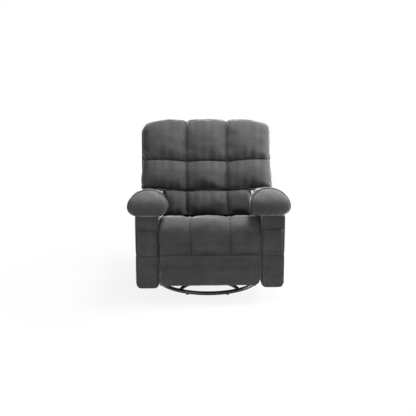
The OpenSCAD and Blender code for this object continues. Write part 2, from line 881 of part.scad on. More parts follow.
module front_pocket() {
    w = arm_w - 2 * pocket_inset;
    color("#444443") translate([arm_in + pocket_inset, -arm_front - pocket_d, belt_z]) difference() {
        cube([w, pocket_d, pocket_top - belt_z]);
        translate([pocket_t, pocket_t, pocket_t]) cube([w - 2 * pocket_t, pocket_d, pocket_top - belt_z]);
    }
}

module left_front_pocket() {
    on_side(left) front_pocket();
}

module right_front_pocket() {
    on_side(right) front_pocket();
}

module rear_skirt() {
    color("#40403f") translate([-seat_hw, arm_rear - cover_t - play, skirt_bottom])
        cube([2 * seat_hw, cover_t, skirt_top - skirt_bottom]);
}

// Release handle, in the outer side of the right arm

paddle_pin_x = arm_out - paddle_t;
paddle_pin_z = cup_z + cup_h / 2 - cup_wall - paddle_t;

module release_cup() {
    color("#1b1b1b") on_side(right) difference() {
        union() {
            translate([arm_out - cup_d, cup_y_low, cup_z_low]) cube([cup_d, cup_l, cup_h]);
            translate([arm_out, cup_y_low - cup_rim, cup_z_low - cup_rim])
                cube([cup_wall, cup_l + 2 * cup_rim, cup_h + 2 * cup_rim]);
        }
        translate([arm_out - cup_d + cup_wall, cup_y_low + cup_wall, cup_z_low + cup_wall])
            cube([2 * cup_d, cup_l - 2 * cup_wall, cup_h - 2 * cup_wall]);
        translate([paddle_pin_x, cup_y_low - over, paddle_pin_z]) rotate([-90, 0, 0])
            cylinder(d = paddle_pin_d + 2 * run, h = cup_l + 2 * over, $fn = 48);
    }
}

module release_pin() {
    color("#9a9ca0") on_side(right) translate([paddle_pin_x, cup_y_low, paddle_pin_z]) rotate([-90, 0, 0])
        cylinder(d = paddle_pin_d, h = cup_l, $fn = 48);
}

module release_paddle() {
    l = cup_l - 2 * cup_wall - 2 * play;
    color("#222222") on_side(right) translate([paddle_pin_x, -cup_y - l / 2, paddle_pin_z]) difference() {
        union() {
            rotate([-90, 0, 0]) cylinder(d = 2 * paddle_t - play, h = l, $fn = 64);
            translate([-paddle_t / 2, 0, -paddle_h]) cube([paddle_t, l, paddle_h]);
        }
        translate([0, -over, 0]) rotate([-90, 0, 0])
            cylinder(d = paddle_pin_d + 2 * run, h = l + 2 * over, $fn = 48);
    }
}

// Release cable: from the cup through the arm to the latch
cable_end_y = -middle_rail_y - latch_reach;
cable_end_z = 280;
cable_y_shares = [0, 0, 0.1, 0.25, 0.45, 0.65, 0.8, 0.9, 1, 1, 1, 1];
cable_points = [
    [420, 435], [410, 434], [398, 427], [388, 412], [382, 388], [376, 356], [368, 326], [356, 300],
    [340, 284], [325, 280], [310, 280], [299, 280]
];
cable_route = [for (k = [0 : len(cable_points) - 1])
    [cable_points[k][0], lerp(-cup_y, cable_end_y, cable_y_shares[k]), cable_points[k][1]]];

module release_cable() {
    color("#141414") on_side(right) sweep(cable_route, cable_d / 2, 8, [0, 1, 0]);
}

module release_latch() {
    color("#6c6e72") on_side(right)
        translate([bracket_x, cable_end_y - board_t, cable_end_z - board_t])
        cube([cable_route[len(cable_route) - 1][0] - bracket_x, latch_reach + board_t, 2 * board_t]);
}

// Footrest

swing = [-hinge_y, swing_z];
footrest_pin = [footrest_pin_y, footrest_pin_z];
torque_pin = [-torque_y, torque_z];
lift_pin = [lift_pin_y, lift_pin_z];
footrest_hw = footrest_w / 2;
board_front_y = board_back_y - footrest_board_t;

module footrest_board() {
    w = 2 * (bracket_x + link_t);
    r = footrest_corner_r;
    color("#b9966a") translate([-w / 2, board_back_y, 0]) rotate([90, 0, 0])
        linear_extrude(footrest_board_t) {
            translate([0, footrest_bottom + r]) square([w, footrest_board_top - footrest_bottom - r]);
            translate([r, footrest_bottom + cover_t]) square([w - 2 * r, r]);
            for (x = [r, w - r]) translate([x, footrest_bottom + r]) circle(r = r - cover_t, $fn = 64);
        }
}

// Footrest pad: a plain lower panel, a sewn line, three channels over it, and
// a lip that follows the seat's front roll
lower_shares = [0, 0.07, 0.3, 0.65, 0.93];
upper_shares = [0, 0.07, 0.3, 0.6, 0.85, 1];
lip_t = 1.6;
lip_r = roll_r + 4 * gap;
lip_drop = 14;
pad_back_y = board_front_y - gap;
lip_start = acos((pad_back_y + hinge_y) / lip_r);
lip_end = acos(-sqrt(pow(lip_r, 2) - pow(lip_drop, 2)) / lip_r);
lip_steps = 5;

function lip_back(z) = let (dz = clamp((swing_z - z) / lip_r) * lip_r)
    -hinge_y - sqrt(pow(lip_r, 2) - pow(dz, 2));
function pad_front(z, depth) = min(front_y + depth, min(pad_back_y, z > swing_z - lip_r
    ? lip_back(z) : pad_back_y) - lip_t);

function pad_loop(t, x) = let (
    side = channel_depth * edge(x, footrest_hw, 2 * channel_depth),
    corner = footrest_corner_r - sqrt(pow(footrest_corner_r, 2)
        - pow(max(0, abs(x) - footrest_hw + footrest_corner_r), 2)),
    low = footrest_bottom + corner,
    lip_z = swing_z - lip_drop,
    lower = [for (s = lower_shares) let (z = lerp(low, belt_z, s)) [
        x,
        pad_front(z, side + channel_depth * (1 - crown(s / 2 + 0.25 + 0.25 * s, 8))
            + 2 * channel_depth * pow(1 - s, 24)),
        z
    ]],
    upper = [for (s = upper_shares) let (z = lerp(belt_z, lip_z, s)) [
        x,
        pad_front(z, side + channel_depth * max(1 - crown(t, 4), s == 0 ? 1 : 0)),
        z
    ]],
    lip = [for (k = [1 : lip_steps]) let (a = lerp(lip_end, lip_start, k / lip_steps))
        [x, lip_r * cos(a) - hinge_y, swing_z - lip_r * sin(a)]])
    concat(lower, upper, lip, [[x, pad_back_y, low]]);

module footrest_pad() {
    color("#484847") skin([for (c = columns(channel_w, footrest_hw)) pad_loop(c[0], c[1])]);
}

module footrest_brackets() {
    color("#2f3033") for (side = [left, right]) on_side(side) {
        upright_plate(bracket_x, link_t) {
            translate([board_back_y, footrest_pin_z - 5 * link_w / 2])
                square([footrest_pin_y - board_back_y, 3 * link_w]);
            translate(footrest_pin) intersection() {
                circle(d = link_w, $fn = 64);
                translate([board_back_y - footrest_pin_y, -link_w]) square(2 * link_w);
            }
        }
        cross_pin(bracket_x + link_t, footrest_pin, link_t + 2 * play, link_pin_d / 2);
    }
}

module torque_tube() {
    color("#3a3b3e") {
        cross_pin(-lift_x, torque_pin, 2 * lift_x, torque_d / 2);
        for (side = [left, right]) on_side(side)
            cross_pin(lift_x, torque_pin, mech_x + mech_t - lift_x, torque_d / 3);
    }
}

module lift_arms() {
    color("#2f3033") for (side = [left, right]) on_side(side) {
        upright_plate(lift_x, link_t) difference() {
            bar(torque_pin, lift_pin, link_w);
            hole(torque_pin, torque_d / 3 + run);
        }
        cross_pin(coupler_x - play, lift_pin, lift_x - coupler_x + play, link_pin_d / 2);
    }
}

module coupler_links() {
    color("#3a3b3e") for (side = [left, right]) on_side(side)
        upright_plate(coupler_x, link_t) difference() {
            bar(lift_pin, footrest_pin, link_w);
            hole(lift_pin, link_pin_d / 2 + run);
            hole(footrest_pin, link_pin_d / 2 + gap);
        }
}

// Back

// Outline of the case seen from behind: narrow between the arms, with wings over
// them, in its own frame whose origin is the rear top edge
function case_half(inset) = let (
    r = case_corner_r,
    w = wing_hw - inset)
    concat([
        [case_hw - inset, inset - case_l],
        [case_hw - inset, wing_local_z + inset],
        [w, wing_local_z + inset]
    ], [for (a = [0 : 15 : 90]) [w - r + inset + (r - inset) * cos(a), (r - inset) * sin(a) - r]]);
function case_outline(inset) = let (half = case_half(inset), n = len(half))
    concat(half, [for (k = [1 : n]) [-half[n - k][0], half[n - k][1]]]);

module in_case() {
    translate([0, half_d, case_top_z]) rotate([-rear_lean, 0, 0]) children();
}

// A board of the back's frame, seated against the case's inner face
module case_board(x, z, w, h) {
    in_case() translate([x, -case_d, z]) cube([w, case_d - case_t, h]);
}

module back_case() {
    color("#40403f") in_case() difference() {
        rotate([90, 0, 0]) linear_extrude(case_d) polygon(case_outline(0));
        translate([0, -case_t, 0]) rotate([90, 0, 0]) linear_extrude(case_d) polygon(case_outline(case_t));
    }
}

module back_posts() {
    color("#b08b5e") for (side = [left, right]) on_side(side)
        case_board(post_x, case_t - case_l, post_w, case_l - 2 * case_t - back_rail_h);
}

module back_lower_rail() {
    color("#b9966a") case_board(-post_x, back_rail_h - case_l, 2 * post_x, back_rail_h);
}

module back_top_rail() {
    w = wing_hw - case_corner_r;
    color("#b9966a") case_board(-w, -case_t - back_rail_h, 2 * w, back_rail_h);
}

module wing_frames() {
    color("#b08b5e") for (side = [left, right]) on_side(side) {
        x = post_x + post_w;
        case_board(x, wing_local_z + case_t, wing_hw - case_t - x, back_rail_h);
        case_board(wing_hw - case_t - post_w, wing_local_z + case_t, post_w,
            -case_corner_r - wing_local_z - case_t);
    }
}

module back_springs() {
    l = 2 * post_x + post_w;
    step = (case_l - 4 * back_rail_h) / zig_count;
    color("#77797d") in_case() for (k = [1 : zig_count])
        translate([-l / 2, -case_d, -back_rail_h - step * k]) rotate([90, 0, 0])
        linear_extrude(zig_wire) zigzag(l);
}

recline_pin = [recline_y, recline_z];
bracket_low = case_point(-case_d / 2, bolt_head_d - case_l + link_w);
bracket_high = case_point(-case_d / 2, 8 * link_w - case_l);

module back_brackets() {
    color("#2f3033") for (side = [left, right]) on_side(side)
        upright_plate(case_hw + gap, mech_t) difference() {
            union() {
                bar(recline_pin, bracket_low, link_w);
                bar(recline_pin, bracket_high, link_w);
                bar(bracket_low, bracket_high, link_w);
                translate(recline_pin) circle(d = link_w + bolt_d, $fn = 64);
            }
            hole(recline_pin, recline_pin_d / 2 + run);
        }
}

module back_pivot_pins() {
    color("#9a9ca0") for (side = [left, right]) on_side(side)
        cross_pin(case_hw + gap, recline_pin, mech_x + mech_t - case_hw - gap, recline_pin_d / 2);
}

// Back cushion: three columns and three rows of swells between sewn lines
low_row_shares = [0, 0.06, 0.25, 0.5, 0.75, 0.93];
middle_row_shares = [0.03, 0.12, 0.35, 0.6, 0.85, 0.95];
top_row_shares = [0, 0.07, 0.25, 0.5, 0.7];
top_edge_shares = [0, 0.4, 0.7, 0.9, 1];
back_levels = concat(
    [for (s = low_row_shares) lerp(back_bottom_z, wing_z, s)],
    [wing_z - play / 2, wing_z + play],
    [for (s = middle_row_shares) lerp(row_low_z, row_high_z, s)],
    [for (s = top_row_shares) lerp(row_high_z, total_h, s)],
    [for (s = top_edge_shares) lerp(total_h - back_top_r, total_h, s)]);
corner_drop = 38;
row_arch = 9;

function back_hw(z) = z <= wing_z ? waist_hw
    : wing_hw - (case_corner_r - sqrt(pow(case_corner_r, 2) - pow(max(0, z - total_h + case_corner_r), 2)))
        - row_arch * notch(z - row_high_z, case_corner_r);
function row_share(z) = z < row_low_z ? (z - back_bottom_z) / (row_low_z - back_bottom_z)
    : z < row_high_z ? (z - row_low_z) / (row_high_z - row_low_z)
    : (z - row_high_z) / (total_h - row_high_z);
function back_front(z) = back_front_y + (z - back_bottom_z) * tan(front_lean);
function back_rear(z) = half_d + (z - case_top_z) * tan(rear_lean) + (spring_plane - gap) / cos(rear_lean);

function back_loop(level) = let (
    hw = back_hw(level),
    s = row_share(level),
    up = clamp((level - row_high_z) / (total_h - row_high_z)),
    seam = notch(level - row_low_z, column_w / 6) + notch(level - row_high_z, column_w / 6),
    tip = clamp((level - total_h) / back_top_r + 1),
    turn_in = back_top_r * (1 - sqrt(1 - tip * tip)),
    pts = [for (c = columns(column_w, hw)) let (
        t = c[0],
        x = c[1],
        out = clamp((abs(x) - column_w / 2) / (wing_hw - column_w / 2)),
        z = level + row_arch * seam * crown(t, 2) - corner_drop * up * pow(out, 3)
            - row_arch * up * (1 - crown(t, 2)) * (abs(x) < column_w ? 1 : 0),
        in = swell / 2 - swell * crown(t, 3) * crown(s, 3) + swell * edge(x, hw, 2 * swell))
        [x, z, in]])
    concat(
        [for (p = pts) [p[0], back_front(p[1]) + p[2] + turn_in, p[1]]],
        [for (k = [len(pts) - 1 : -1 : 0]) let (p = pts[k]) [
            p[0],
            back_rear(p[1]) - turn_in * (back_rear(total_h) - back_front(total_h) - back_top_r - swell)
                / back_top_r,
            p[1]
        ]]);

module back_cushion() {
    color("#4a4a49") skin([for (level = back_levels) back_loop(level)]);
}

ring_tube();
front_arch_tube();
rear_arch_tube();
floor_glides();
swivel_lower_plate();
swivel_bolts();
swivel_pivot();
bearing_balls();
ball_cage();
swivel_upper_plate();
front_cross_bar();
rear_cross_bar();
cross_bar_bolts();
left_rocker_rail();
right_rocker_rail();
left_rocker_springs();
right_rocker_springs();
left_rocker_cam();
right_rocker_cam();
left_frame_rail();
right_frame_rail();
front_cross_rail();
middle_cross_rail();
rear_cross_rail();
seat_springs();
left_mechanism_plate();
right_mechanism_plate();
arm_bolts();
seat_cushion();
left_arm_frame();
right_arm_frame();
left_arm_cover();
right_arm_cover();
left_arm_pillow();
right_arm_pillow();
left_front_pocket();
right_front_pocket();
rear_skirt();
release_cup();
release_pin();
release_cable();
release_latch();
release_paddle();
footrest_board();
footrest_pad();
footrest_brackets();
torque_tube();
lift_arms();
coupler_links();
back_posts();
back_lower_rail();
back_top_rail();
wing_frames();
back_springs();
back_brackets();
back_pivot_pins();
back_case();
back_cushion();
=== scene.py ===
import json
import math

import bmesh
import bpy
import numpy as np
from bpy.props import FloatProperty, FloatVectorProperty, IntProperty, PointerProperty
from mathutils import Matrix, Vector


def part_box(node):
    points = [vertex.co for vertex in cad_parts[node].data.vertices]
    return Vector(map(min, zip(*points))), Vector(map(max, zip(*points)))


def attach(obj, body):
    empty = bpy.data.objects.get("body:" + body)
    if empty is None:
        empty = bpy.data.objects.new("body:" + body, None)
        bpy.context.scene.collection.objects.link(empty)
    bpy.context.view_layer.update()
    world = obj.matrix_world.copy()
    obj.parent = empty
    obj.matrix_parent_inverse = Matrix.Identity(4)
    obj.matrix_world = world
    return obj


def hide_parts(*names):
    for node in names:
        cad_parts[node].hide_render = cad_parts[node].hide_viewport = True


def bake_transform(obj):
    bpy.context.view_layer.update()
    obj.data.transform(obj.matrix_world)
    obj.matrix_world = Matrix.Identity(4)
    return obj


bl_info = {
    "name": "Swivel rocker recliner",
    "version": (1, 0),
    "blender": (4, 5, 0),
    "location": "View3D > Sidebar > Recliner",
    "description": "Upholstery, frame finishes and studio for a swivel rocker recliner",
    "category": "Object",
}

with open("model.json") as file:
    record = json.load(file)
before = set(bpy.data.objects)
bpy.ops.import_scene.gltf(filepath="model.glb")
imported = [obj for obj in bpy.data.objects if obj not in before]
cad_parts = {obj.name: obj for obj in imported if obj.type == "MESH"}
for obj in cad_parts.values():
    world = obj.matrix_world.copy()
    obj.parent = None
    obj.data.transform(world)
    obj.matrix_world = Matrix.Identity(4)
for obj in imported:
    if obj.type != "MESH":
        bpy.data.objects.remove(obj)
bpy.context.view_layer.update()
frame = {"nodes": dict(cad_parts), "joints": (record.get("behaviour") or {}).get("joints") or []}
SEAT_LOW, SEAT_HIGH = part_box("seat_cushion")
REST_LOW, REST_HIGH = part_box("footrest_pad")
BOARD_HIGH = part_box("footrest_board")[1]
BACK_LOW, BACK_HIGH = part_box("back_cushion")
CASE_LOW, CASE_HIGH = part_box("back_case")
ARM_LOW, ARM_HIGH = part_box("left_arm_cover")
PILLOW_LOW, PILLOW_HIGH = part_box("left_arm_pillow")
POCKET_LOW, POCKET_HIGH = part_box("left_front_pocket")
SKIRT_LOW, SKIRT_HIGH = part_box("rear_skirt")
CUP_LOW, CUP_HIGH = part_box("release_cup")
LEFT, RIGHT = 1, -1


def joint_place(name):
    """Where a joint's axis passes, in metres."""
    return next(Vector(j["pos_m"]) for j in frame["joints"] if j["name"] == name)


KNEE = joint_place("footrest_swing")


def metres(name, description, default, low, high):
    """A length that a user may change, in metres."""
    return FloatProperty(name=name, description=description, default=default, min=low, max=high,
                         unit="LENGTH")


def tint(name, description, default):
    """A colour that a user may change."""
    return FloatVectorProperty(name=name, description=description, default=default, min=0, max=1,
                               size=3, subtype="COLOR")


class UpholsterySizes(bpy.types.PropertyGroup):
    swell: metres("Swell", "How far a cell of a cushion stands over its seams", 0.0255, 0.005, 0.04)
    seam_depth: metres("Seam depth", "Depth of a sewn line in a cushion", 0.007, 0, 0.02)
    seam_width: metres("Seam width", "Half the width of a sewn line", 0.0055, 0.001, 0.02)
    channel_w: metres("Middle channel", "Width of the seat's middle channel", 0.242, 0.2, 0.28)
    column_w: metres("Middle column", "Width of the back's middle column", 0.274, 0.24, 0.3)
    row_low: metres("Lower tuft row", "Height of the back's lower row of tufts", 0.582, 0.5, 0.6)
    row_high: metres("Upper tuft row", "Height of the back's upper row of tufts", 0.757, 0.7, 0.8)
    belt: metres("Belt seam", "Height of the sewn line round the front", 0.297, 0.25, 0.33)
    welt: metres("Welt", "Radius of a welt cord under the fabric", 0.0021, 0.001, 0.006)
    cells: IntProperty(name="Cells", description="Cells of a cushion's mesh between two seams",
                       default=26, min=6, max=60)


class FinishColours(bpy.types.PropertyGroup):
    fabric: tint("Fabric", "Colour of the upholstery", (0.038, 0.038, 0.0376))
    nap: tint("Nap", "Colour of the pile brushed the other way", (0.084, 0.084, 0.0825))
    # A painted highlight: lighter pile on the top of the seat's roll and on the arm pillows, where
    # light from above falls
    rubbed: tint("Rubbed nap", "Colour where hands and legs rub the pile", (0.125, 0.125, 0.123))
    lining: tint("Lining", "Colour of the dust covers", (0.02, 0.02, 0.021))
    powder: tint("Powder coat", "Colour of the base's paint", (0.009, 0.009, 0.01))


class StudioSizes(bpy.types.PropertyGroup):
    distance: metres("Camera distance", "From the swivel axis to the camera", 4.868, 3, 8)
    height: metres("Camera height", "Height of the camera over the floor", 1.584, 0.5, 2.5)
    azimuth: FloatProperty(name="Camera azimuth", description="Turn of the camera round the chair",
                           default=math.radians(-1.89), subtype="ANGLE")
    pitch: FloatProperty(name="Camera pitch", description="How far the camera looks down",
                         default=math.radians(12.68), subtype="ANGLE")
    lens: FloatProperty(name="Lens", description="Focal length in millimetres",
                        default=66.0, min=20, max=200)


class Socket:
    """A socket of a node tree. Arithmetic on it adds Math nodes."""

    def __init__(self, finish, socket):
        self.finish = finish
        self.socket = socket

    def maths(self, operation, first, second):
        return self.finish.node("ShaderNodeMath", {"operation": operation}, {0: first, 1: second})

    def __add__(self, other):
        return self.maths("ADD", self, other)

    def __sub__(self, other):
        return self.maths("SUBTRACT", self, other)

    def __rsub__(self, other):
        return self.maths("SUBTRACT", other, self)

    def __mul__(self, other):
        return self.maths("MULTIPLY", self, other)

    def between(self, low, high):
        """0 at low and 1 at high, held between them."""
        return self.finish.node("ShaderNodeMapRange", {"clamp": True},
                                {"Value": self, "From Min": low, "From Max": high})


# Sockets of a Mix node that mixes colours
MIX_FACTOR, MIX_FIRST, MIX_SECOND, MIX_RESULT = 0, 6, 7, 2


class Finish:
    """A material and its nodes."""

    def __init__(self, name):
        self.material = bpy.data.materials.new(name)
        self.material.use_nodes = True
        self.tree = self.material.node_tree
        self.tree.nodes.clear()

    def node(self, kind, settings=None, inputs=None, out=0):
        """Adds a node of a type, sets it up, then gives its sockets values or links."""
        made = self.tree.nodes.new(kind)
        for name, value in (settings or {}).items():
            if name == "stops":
                ramp = made.color_ramp.elements
                while len(ramp) < len(value):
                    ramp.new(0.5)
                for element, (place, colour) in zip(ramp, value):
                    element.position = place
                    element.color = (*colour, 1)
            else:
                setattr(made, name, value)
        for name, value in (inputs or {}).items():
            if isinstance(value, Socket):
                self.tree.links.new(value.socket, made.inputs[name])
            elif made.inputs[name].type == "RGBA":
                made.inputs[name].default_value = (*value, 1)
            else:
                made.inputs[name].default_value = value
        return Socket(self, made.outputs[out]) if made.outputs else None

    def place(self, stretch=(1, 1, 1)):
        """The object's own coordinates in metres, stretched."""
        coordinates = self.node("ShaderNodeTexCoord", out="Object")
        return self.node("ShaderNodeMapping", None, {"Vector": coordinates, "Scale": stretch})

    def noise(self, scale, detail=2.0, stretch=(1, 1, 1), roughness=0.5, distortion=0.0):
        return self.node("ShaderNodeTexNoise", None, {
            "Vector": self.place(stretch), "Scale": scale, "Detail": detail,
            "Roughness": roughness, "Distortion": distortion})

    def mix(self, factor, first, second):
        """Two colours mixed by a factor."""
        return self.node("ShaderNodeMix", {"data_type": "RGBA"}, {
            MIX_FACTOR: factor, MIX_FIRST: first, MIX_SECOND: second}, MIX_RESULT)

    def attribute(self, name):
        return self.node("ShaderNodeAttribute", {"attribute_name": name}, None, "Fac")

    def bump(self, height, strength, distance, normal=None):
        inputs = {"Height": height, "Strength": strength, "Distance": distance}
        if normal is not None:
            inputs["Normal"] = normal
        return self.node("ShaderNodeBump", None, inputs)

    def surface(self, inputs):
        shader = self.node("ShaderNodeBsdfPrincipled", None, inputs)
        self.node("ShaderNodeOutputMaterial", None, {"Surface": shader})
        return self.material


FINISHES = {}


def finished(build):
    """Builds each finish once, the first time a piece asks for it."""
    def ready(*arguments):
        key = (build.__name__, *arguments)
        if key not in FINISHES:
            FINISHES[key] = build(*arguments)
        return FINISHES[key]
    return ready


@finished
def chenille(name, grain, brush=1.0):
    """Brushed chenille: pile in soft ribs along the grain, with patches of nap either way."""
    colours = bpy.context.scene.recliner_colours
    f = Finish(name)
    patches = f.noise(7.0, 3.0, roughness=0.55, distortion=0.6)
    strokes = f.noise(26.0, 3.0, grain, roughness=0.6, distortion=0.3)
    ribs = f.noise(330.0, 2.0, tuple(0.35 if g < 1 else 1.7 for g in grain), roughness=0.6)
    pile = f.noise(900.0, 2.0, roughness=0.7)
    specks = f.noise(430.0, 1.0)
    seam = f.attribute("seam")
    brushed = (patches.between(0.42, 0.66) * 0.22 + strokes.between(0.4, 0.7) * 0.24
               + ribs.between(0.38, 0.66) * 0.26 + specks.between(0.35, 0.7) * 0.2)
    cloth = f.mix(brushed * brush, colours.fabric, colours.nap)
    # Painted highlight: streaked lighter pile where the mesh marks the tops lit from above
    wear_and_painted_highlight = f.attribute("rubbed") * (strokes.between(0.3, 0.7) * 0.45 + 0.55)
    cloth = f.mix(wear_and_painted_highlight, cloth, colours.rubbed)
    # Painted shade: darker cloth along each seam, where shade falls in its groove
    shaded = f.mix(seam * 0.65, cloth, (0.018, 0.018, 0.018))
    rough = 0.98 - ribs.between(0.3, 0.7) * 0.1 - strokes.between(0.4, 0.7) * 0.08
    soft = f.bump(strokes * 0.5 + patches * 0.5, 0.35, 0.004)
    fine = f.bump(ribs * 0.55 + pile * 0.3 + specks * 0.25, 0.75, 0.0011, soft)
    return f.surface({"Base Color": shaded, "Roughness": rough, "Normal": fine, "IOR": 1.42,
                      "Specular IOR Level": 0.16, "Sheen Weight": 1.0, "Sheen Roughness": 0.28,
                      "Sheen Tint": (0.82, 0.82, 0.81)})


@finished
def welt_fabric():
    """The same cloth cut on the bias and sewn over a cord."""
    colours = bpy.context.scene.recliner_colours
    f = Finish("welt_fabric")
    pile = f.noise(800.0, 2.0)
    cloth = f.mix(pile.between(0.35, 0.7) * 0.6, colours.fabric, colours.nap)
    return f.surface({"Base Color": cloth, "Roughness": pile.between(0.2, 0.8) * 0.08 + 0.9,
                      "Normal": f.bump(pile, 0.6, 0.0008), "Specular IOR Level": 0.2,
                      "Sheen Weight": 0.25, "Sheen Roughness": 0.4,
                      "Sheen Tint": (0.85, 0.85, 0.84)})


@finished
def lining():
    """Thin black dust cover, bonded fibres with pressed dots."""
    colours = bpy.context.scene.recliner_colours
    f = Finish("lining")
    fibres = f.noise(700.0, 4.0, (1, 0.4, 1))
    dots = f.node("ShaderNodeTexVoronoi", None, {"Vector": f.place(), "Scale": 350.0})
    cloth = f.mix(fibres, colours.lining, (0.045, 0.045, 0.047))
    return f.surface({"Base Color": cloth, "Roughness": fibres * 0.15 + 0.75,
                      "Normal": f.bump(fibres * 0.5 + dots * 0.6, 0.5, 0.0006),
                      "Specular IOR Level": 0.3})


@finished
def powder_coat():
    """Satin black powder coat: orange peel, a little dust and rubbed spots."""
    colours = bpy.context.scene.recliner_colours
    f = Finish("powder_coat")
    peel = f.noise(420.0, 2.0)
    dust = f.noise(14.0, 4.0)
    coat = f.mix(dust.between(0.5, 0.8) * 0.35, colours.powder, (0.03, 0.03, 0.031))
    return f.surface({"Base Color": coat, "Roughness": dust.between(0.3, 0.8) * 0.16 + 0.3,
                      "Normal": f.bump(peel, 0.25, 0.0006), "Specular IOR Level": 0.5})


@finished
def frame_paint():
    """Semi-gloss black paint on pressed steel, rubbed where parts pass each other."""
    f = Finish("frame_paint")
    cloudy = f.noise(30.0, 5.0)
    fine = f.noise(600.0, 2.0)
    wear_and_painted_highlight = f.noise(90.0, 6.0).between(0.66, 0.74)
    coat = f.mix(cloudy, (0.018, 0.018, 0.019), (0.034, 0.034, 0.036))
    coat = f.mix(wear_and_painted_highlight * 0.5, coat, (0.16, 0.155, 0.15))
    return f.surface({"Base Color": coat, "Roughness": cloudy * 0.25 + 0.28,
                      "Metallic": wear_and_painted_highlight * 0.4, "Normal": f.bump(fine, 0.2, 0.0004)})


@finished
def zinc():
    """Bright zinc plate with fine turning marks."""
    f = Finish("zinc")
    marks = f.noise(500.0, 3.0, (1, 1, 6))
    cloudy = f.noise(60.0, 3.0)
    metal = f.mix(cloudy, (0.42, 0.42, 0.41), (0.62, 0.61, 0.58))
    return f.surface({"Base Color": metal, "Roughness": marks * 0.2 + 0.22, "Metallic": 1.0,
                      "Normal": f.bump(marks, 0.15, 0.0003)})


@finished
def brass():
    f = Finish("brass")
    cloudy = f.noise(80.0, 3.0)
    metal = f.mix(cloudy, (0.5, 0.36, 0.14), (0.7, 0.54, 0.25))
    return f.surface({"Base Color": metal, "Roughness": cloudy * 0.2 + 0.25, "Metallic": 1.0,
                      "Normal": f.bump(f.noise(400.0), 0.1, 0.0003)})


@finished
def spring_steel():
    """Oil-tempered wire, blue-grey with an oily film."""
    f = Finish("spring_steel")
    scale = f.noise(140.0, 4.0)
    metal = f.mix(scale, (0.07, 0.075, 0.085), (0.2, 0.2, 0.205))
    return f.surface({"Base Color": metal, "Roughness": scale * 0.25 + 0.3, "Metallic": 0.9,
                      "Normal": f.bump(scale, 0.2, 0.0004)})


@finished
def sawn_wood(name, grain):
    """Sawn hardwood: growth rings stretched along the grain, with pores and saw marks."""
    f = Finish(name)
    rings = f.noise(30.0, 4.0, grain, roughness=0.55, distortion=1.2)
    pores = f.noise(260.0, 3.0, grain, roughness=0.6)
    saw = f.noise(160.0, 1.0, tuple(1.0 if g < 1 else 0.3 for g in grain))
    wood = f.node("ShaderNodeValToRGB", {"stops": [
        (0.3, (0.26, 0.155, 0.075)), (0.5, (0.42, 0.275, 0.145)), (0.68, (0.52, 0.36, 0.2))]},
        {"Fac": rings})
    wood = f.mix(pores.between(0.58, 0.7) * 0.5, wood, (0.16, 0.09, 0.045))
    return f.surface({"Base Color": wood, "Roughness": pores * 0.2 + 0.6,
                      "Normal": f.bump(pores * 0.6 + saw * 0.5, 0.4, 0.0007)})


@finished
def moulded_plastic(name, tone):
    """Black plastic with the fine grain of its mould."""
    f = Finish(name)
    grain = f.node("ShaderNodeTexVoronoi", None, {"Vector": f.place(), "Scale": 900.0})
    smears = f.noise(25.0, 3.0)
    body = f.mix(smears, (tone, tone, tone), (tone * 1.7, tone * 1.7, tone * 1.75))
    return f.surface({"Base Color": body, "Roughness": smears * 0.18 + 0.36,
                      "Normal": f.bump(grain, 0.3, 0.0004)})


@finished
def cable_sheath():
    f = Finish("cable_sheath")
    grain = f.noise(300.0, 2.0)
    body = f.mix(grain, (0.012, 0.012, 0.012), (0.03, 0.03, 0.03))
    return f.surface({"Base Color": body, "Roughness": grain * 0.2 + 0.4,
                      "Normal": f.bump(grain, 0.2, 0.0004)})


@finished
def backdrop():
    """Pale floor: the camera sees it as white, with a soft trace of the chair's shadow."""
    f = Finish("backdrop")
    grain = f.noise(3.0, 3.0)
    tone = f.mix(grain, (0.55, 0.55, 0.55), (0.6, 0.6, 0.6))
    plain = f.node("ShaderNodeBsdfPrincipled", None, {
        "Base Color": tone, "Roughness": grain * 0.1 + 0.8, "Specular IOR Level": 0.1})
    white = f.node("ShaderNodeEmission", None, {"Color": (1, 1, 1), "Strength": 1.0})
    seen = f.node("ShaderNodeLightPath", out="Is Camera Ray")
    for ray in ("Is Glossy Ray", "Is Transmission Ray"):
        seen = seen.maths("MAXIMUM", seen, f.node("ShaderNodeLightPath", out=ray))
    away = f.node("ShaderNodeVectorMath", {"operation": "LENGTH"}, {0: f.place()}, "Value")
    share = seen * (away.between(0.5, 1.5) * 0.13 + 0.87)
    floor = f.node("ShaderNodeMixShader", None, {"Fac": share, 1: plain, 2: white})
    f.node("ShaderNodeOutputMaterial", None, {"Surface": floor})
    return f.material


# Grains, as stretches of the coordinates: a small number draws the pattern out along that axis
ALONG_X = (0.12, 1, 1)
ALONG_Y = (1, 0.12, 1)
ALONG_Z = (1, 1, 0.12)


def unit_block(cells):
    """A block from 0 to 1, cut into cells along X, Y and Z."""
    bm = bmesh.new()
    bmesh.ops.create_cube(bm, size=1, matrix=Matrix.Translation((0.5, 0.5, 0.5)))
    for axis, count in enumerate(cells):
        along = [e for e in bm.edges if abs((e.verts[0].co - e.verts[1].co)[axis]) > 1e-6]
        if count > 1:
            bmesh.ops.subdivide_edges(bm, edges=along, cuts=count - 1, use_grid_fill=True)
    return bm


def placed(name, data):
    """A new object of the scene, at the origin."""
    made = bpy.data.objects.new(name, data)
    bpy.context.scene.collection.objects.link(made)
    return made


def finished_piece(name, mesh, material, soft=True):
    """A mesh as a piece with its finish, shaded smooth where it is soft."""
    mesh.polygons.foreach_set("use_smooth", [soft] * len(mesh.polygons))
    mesh.materials.clear()
    mesh.materials.append(material)
    return placed(name, mesh)


def piece_from(bm, name, material, soft=True):
    """A piece from a bmesh."""
    bmesh.ops.recalc_face_normals(bm, faces=bm.faces)
    mesh = bpy.data.meshes.new(name)
    bm.to_mesh(mesh)
    bm.free()
    return finished_piece(name, mesh, material, soft)


def points_of(mesh):
    flat = np.zeros(len(mesh.vertices) * 3)
    mesh.vertices.foreach_get("co", flat)
    return flat.reshape(-1, 3)


def move_points(mesh, points):
    mesh.vertices.foreach_set("co", np.asarray(points, float).ravel())
    mesh.update()


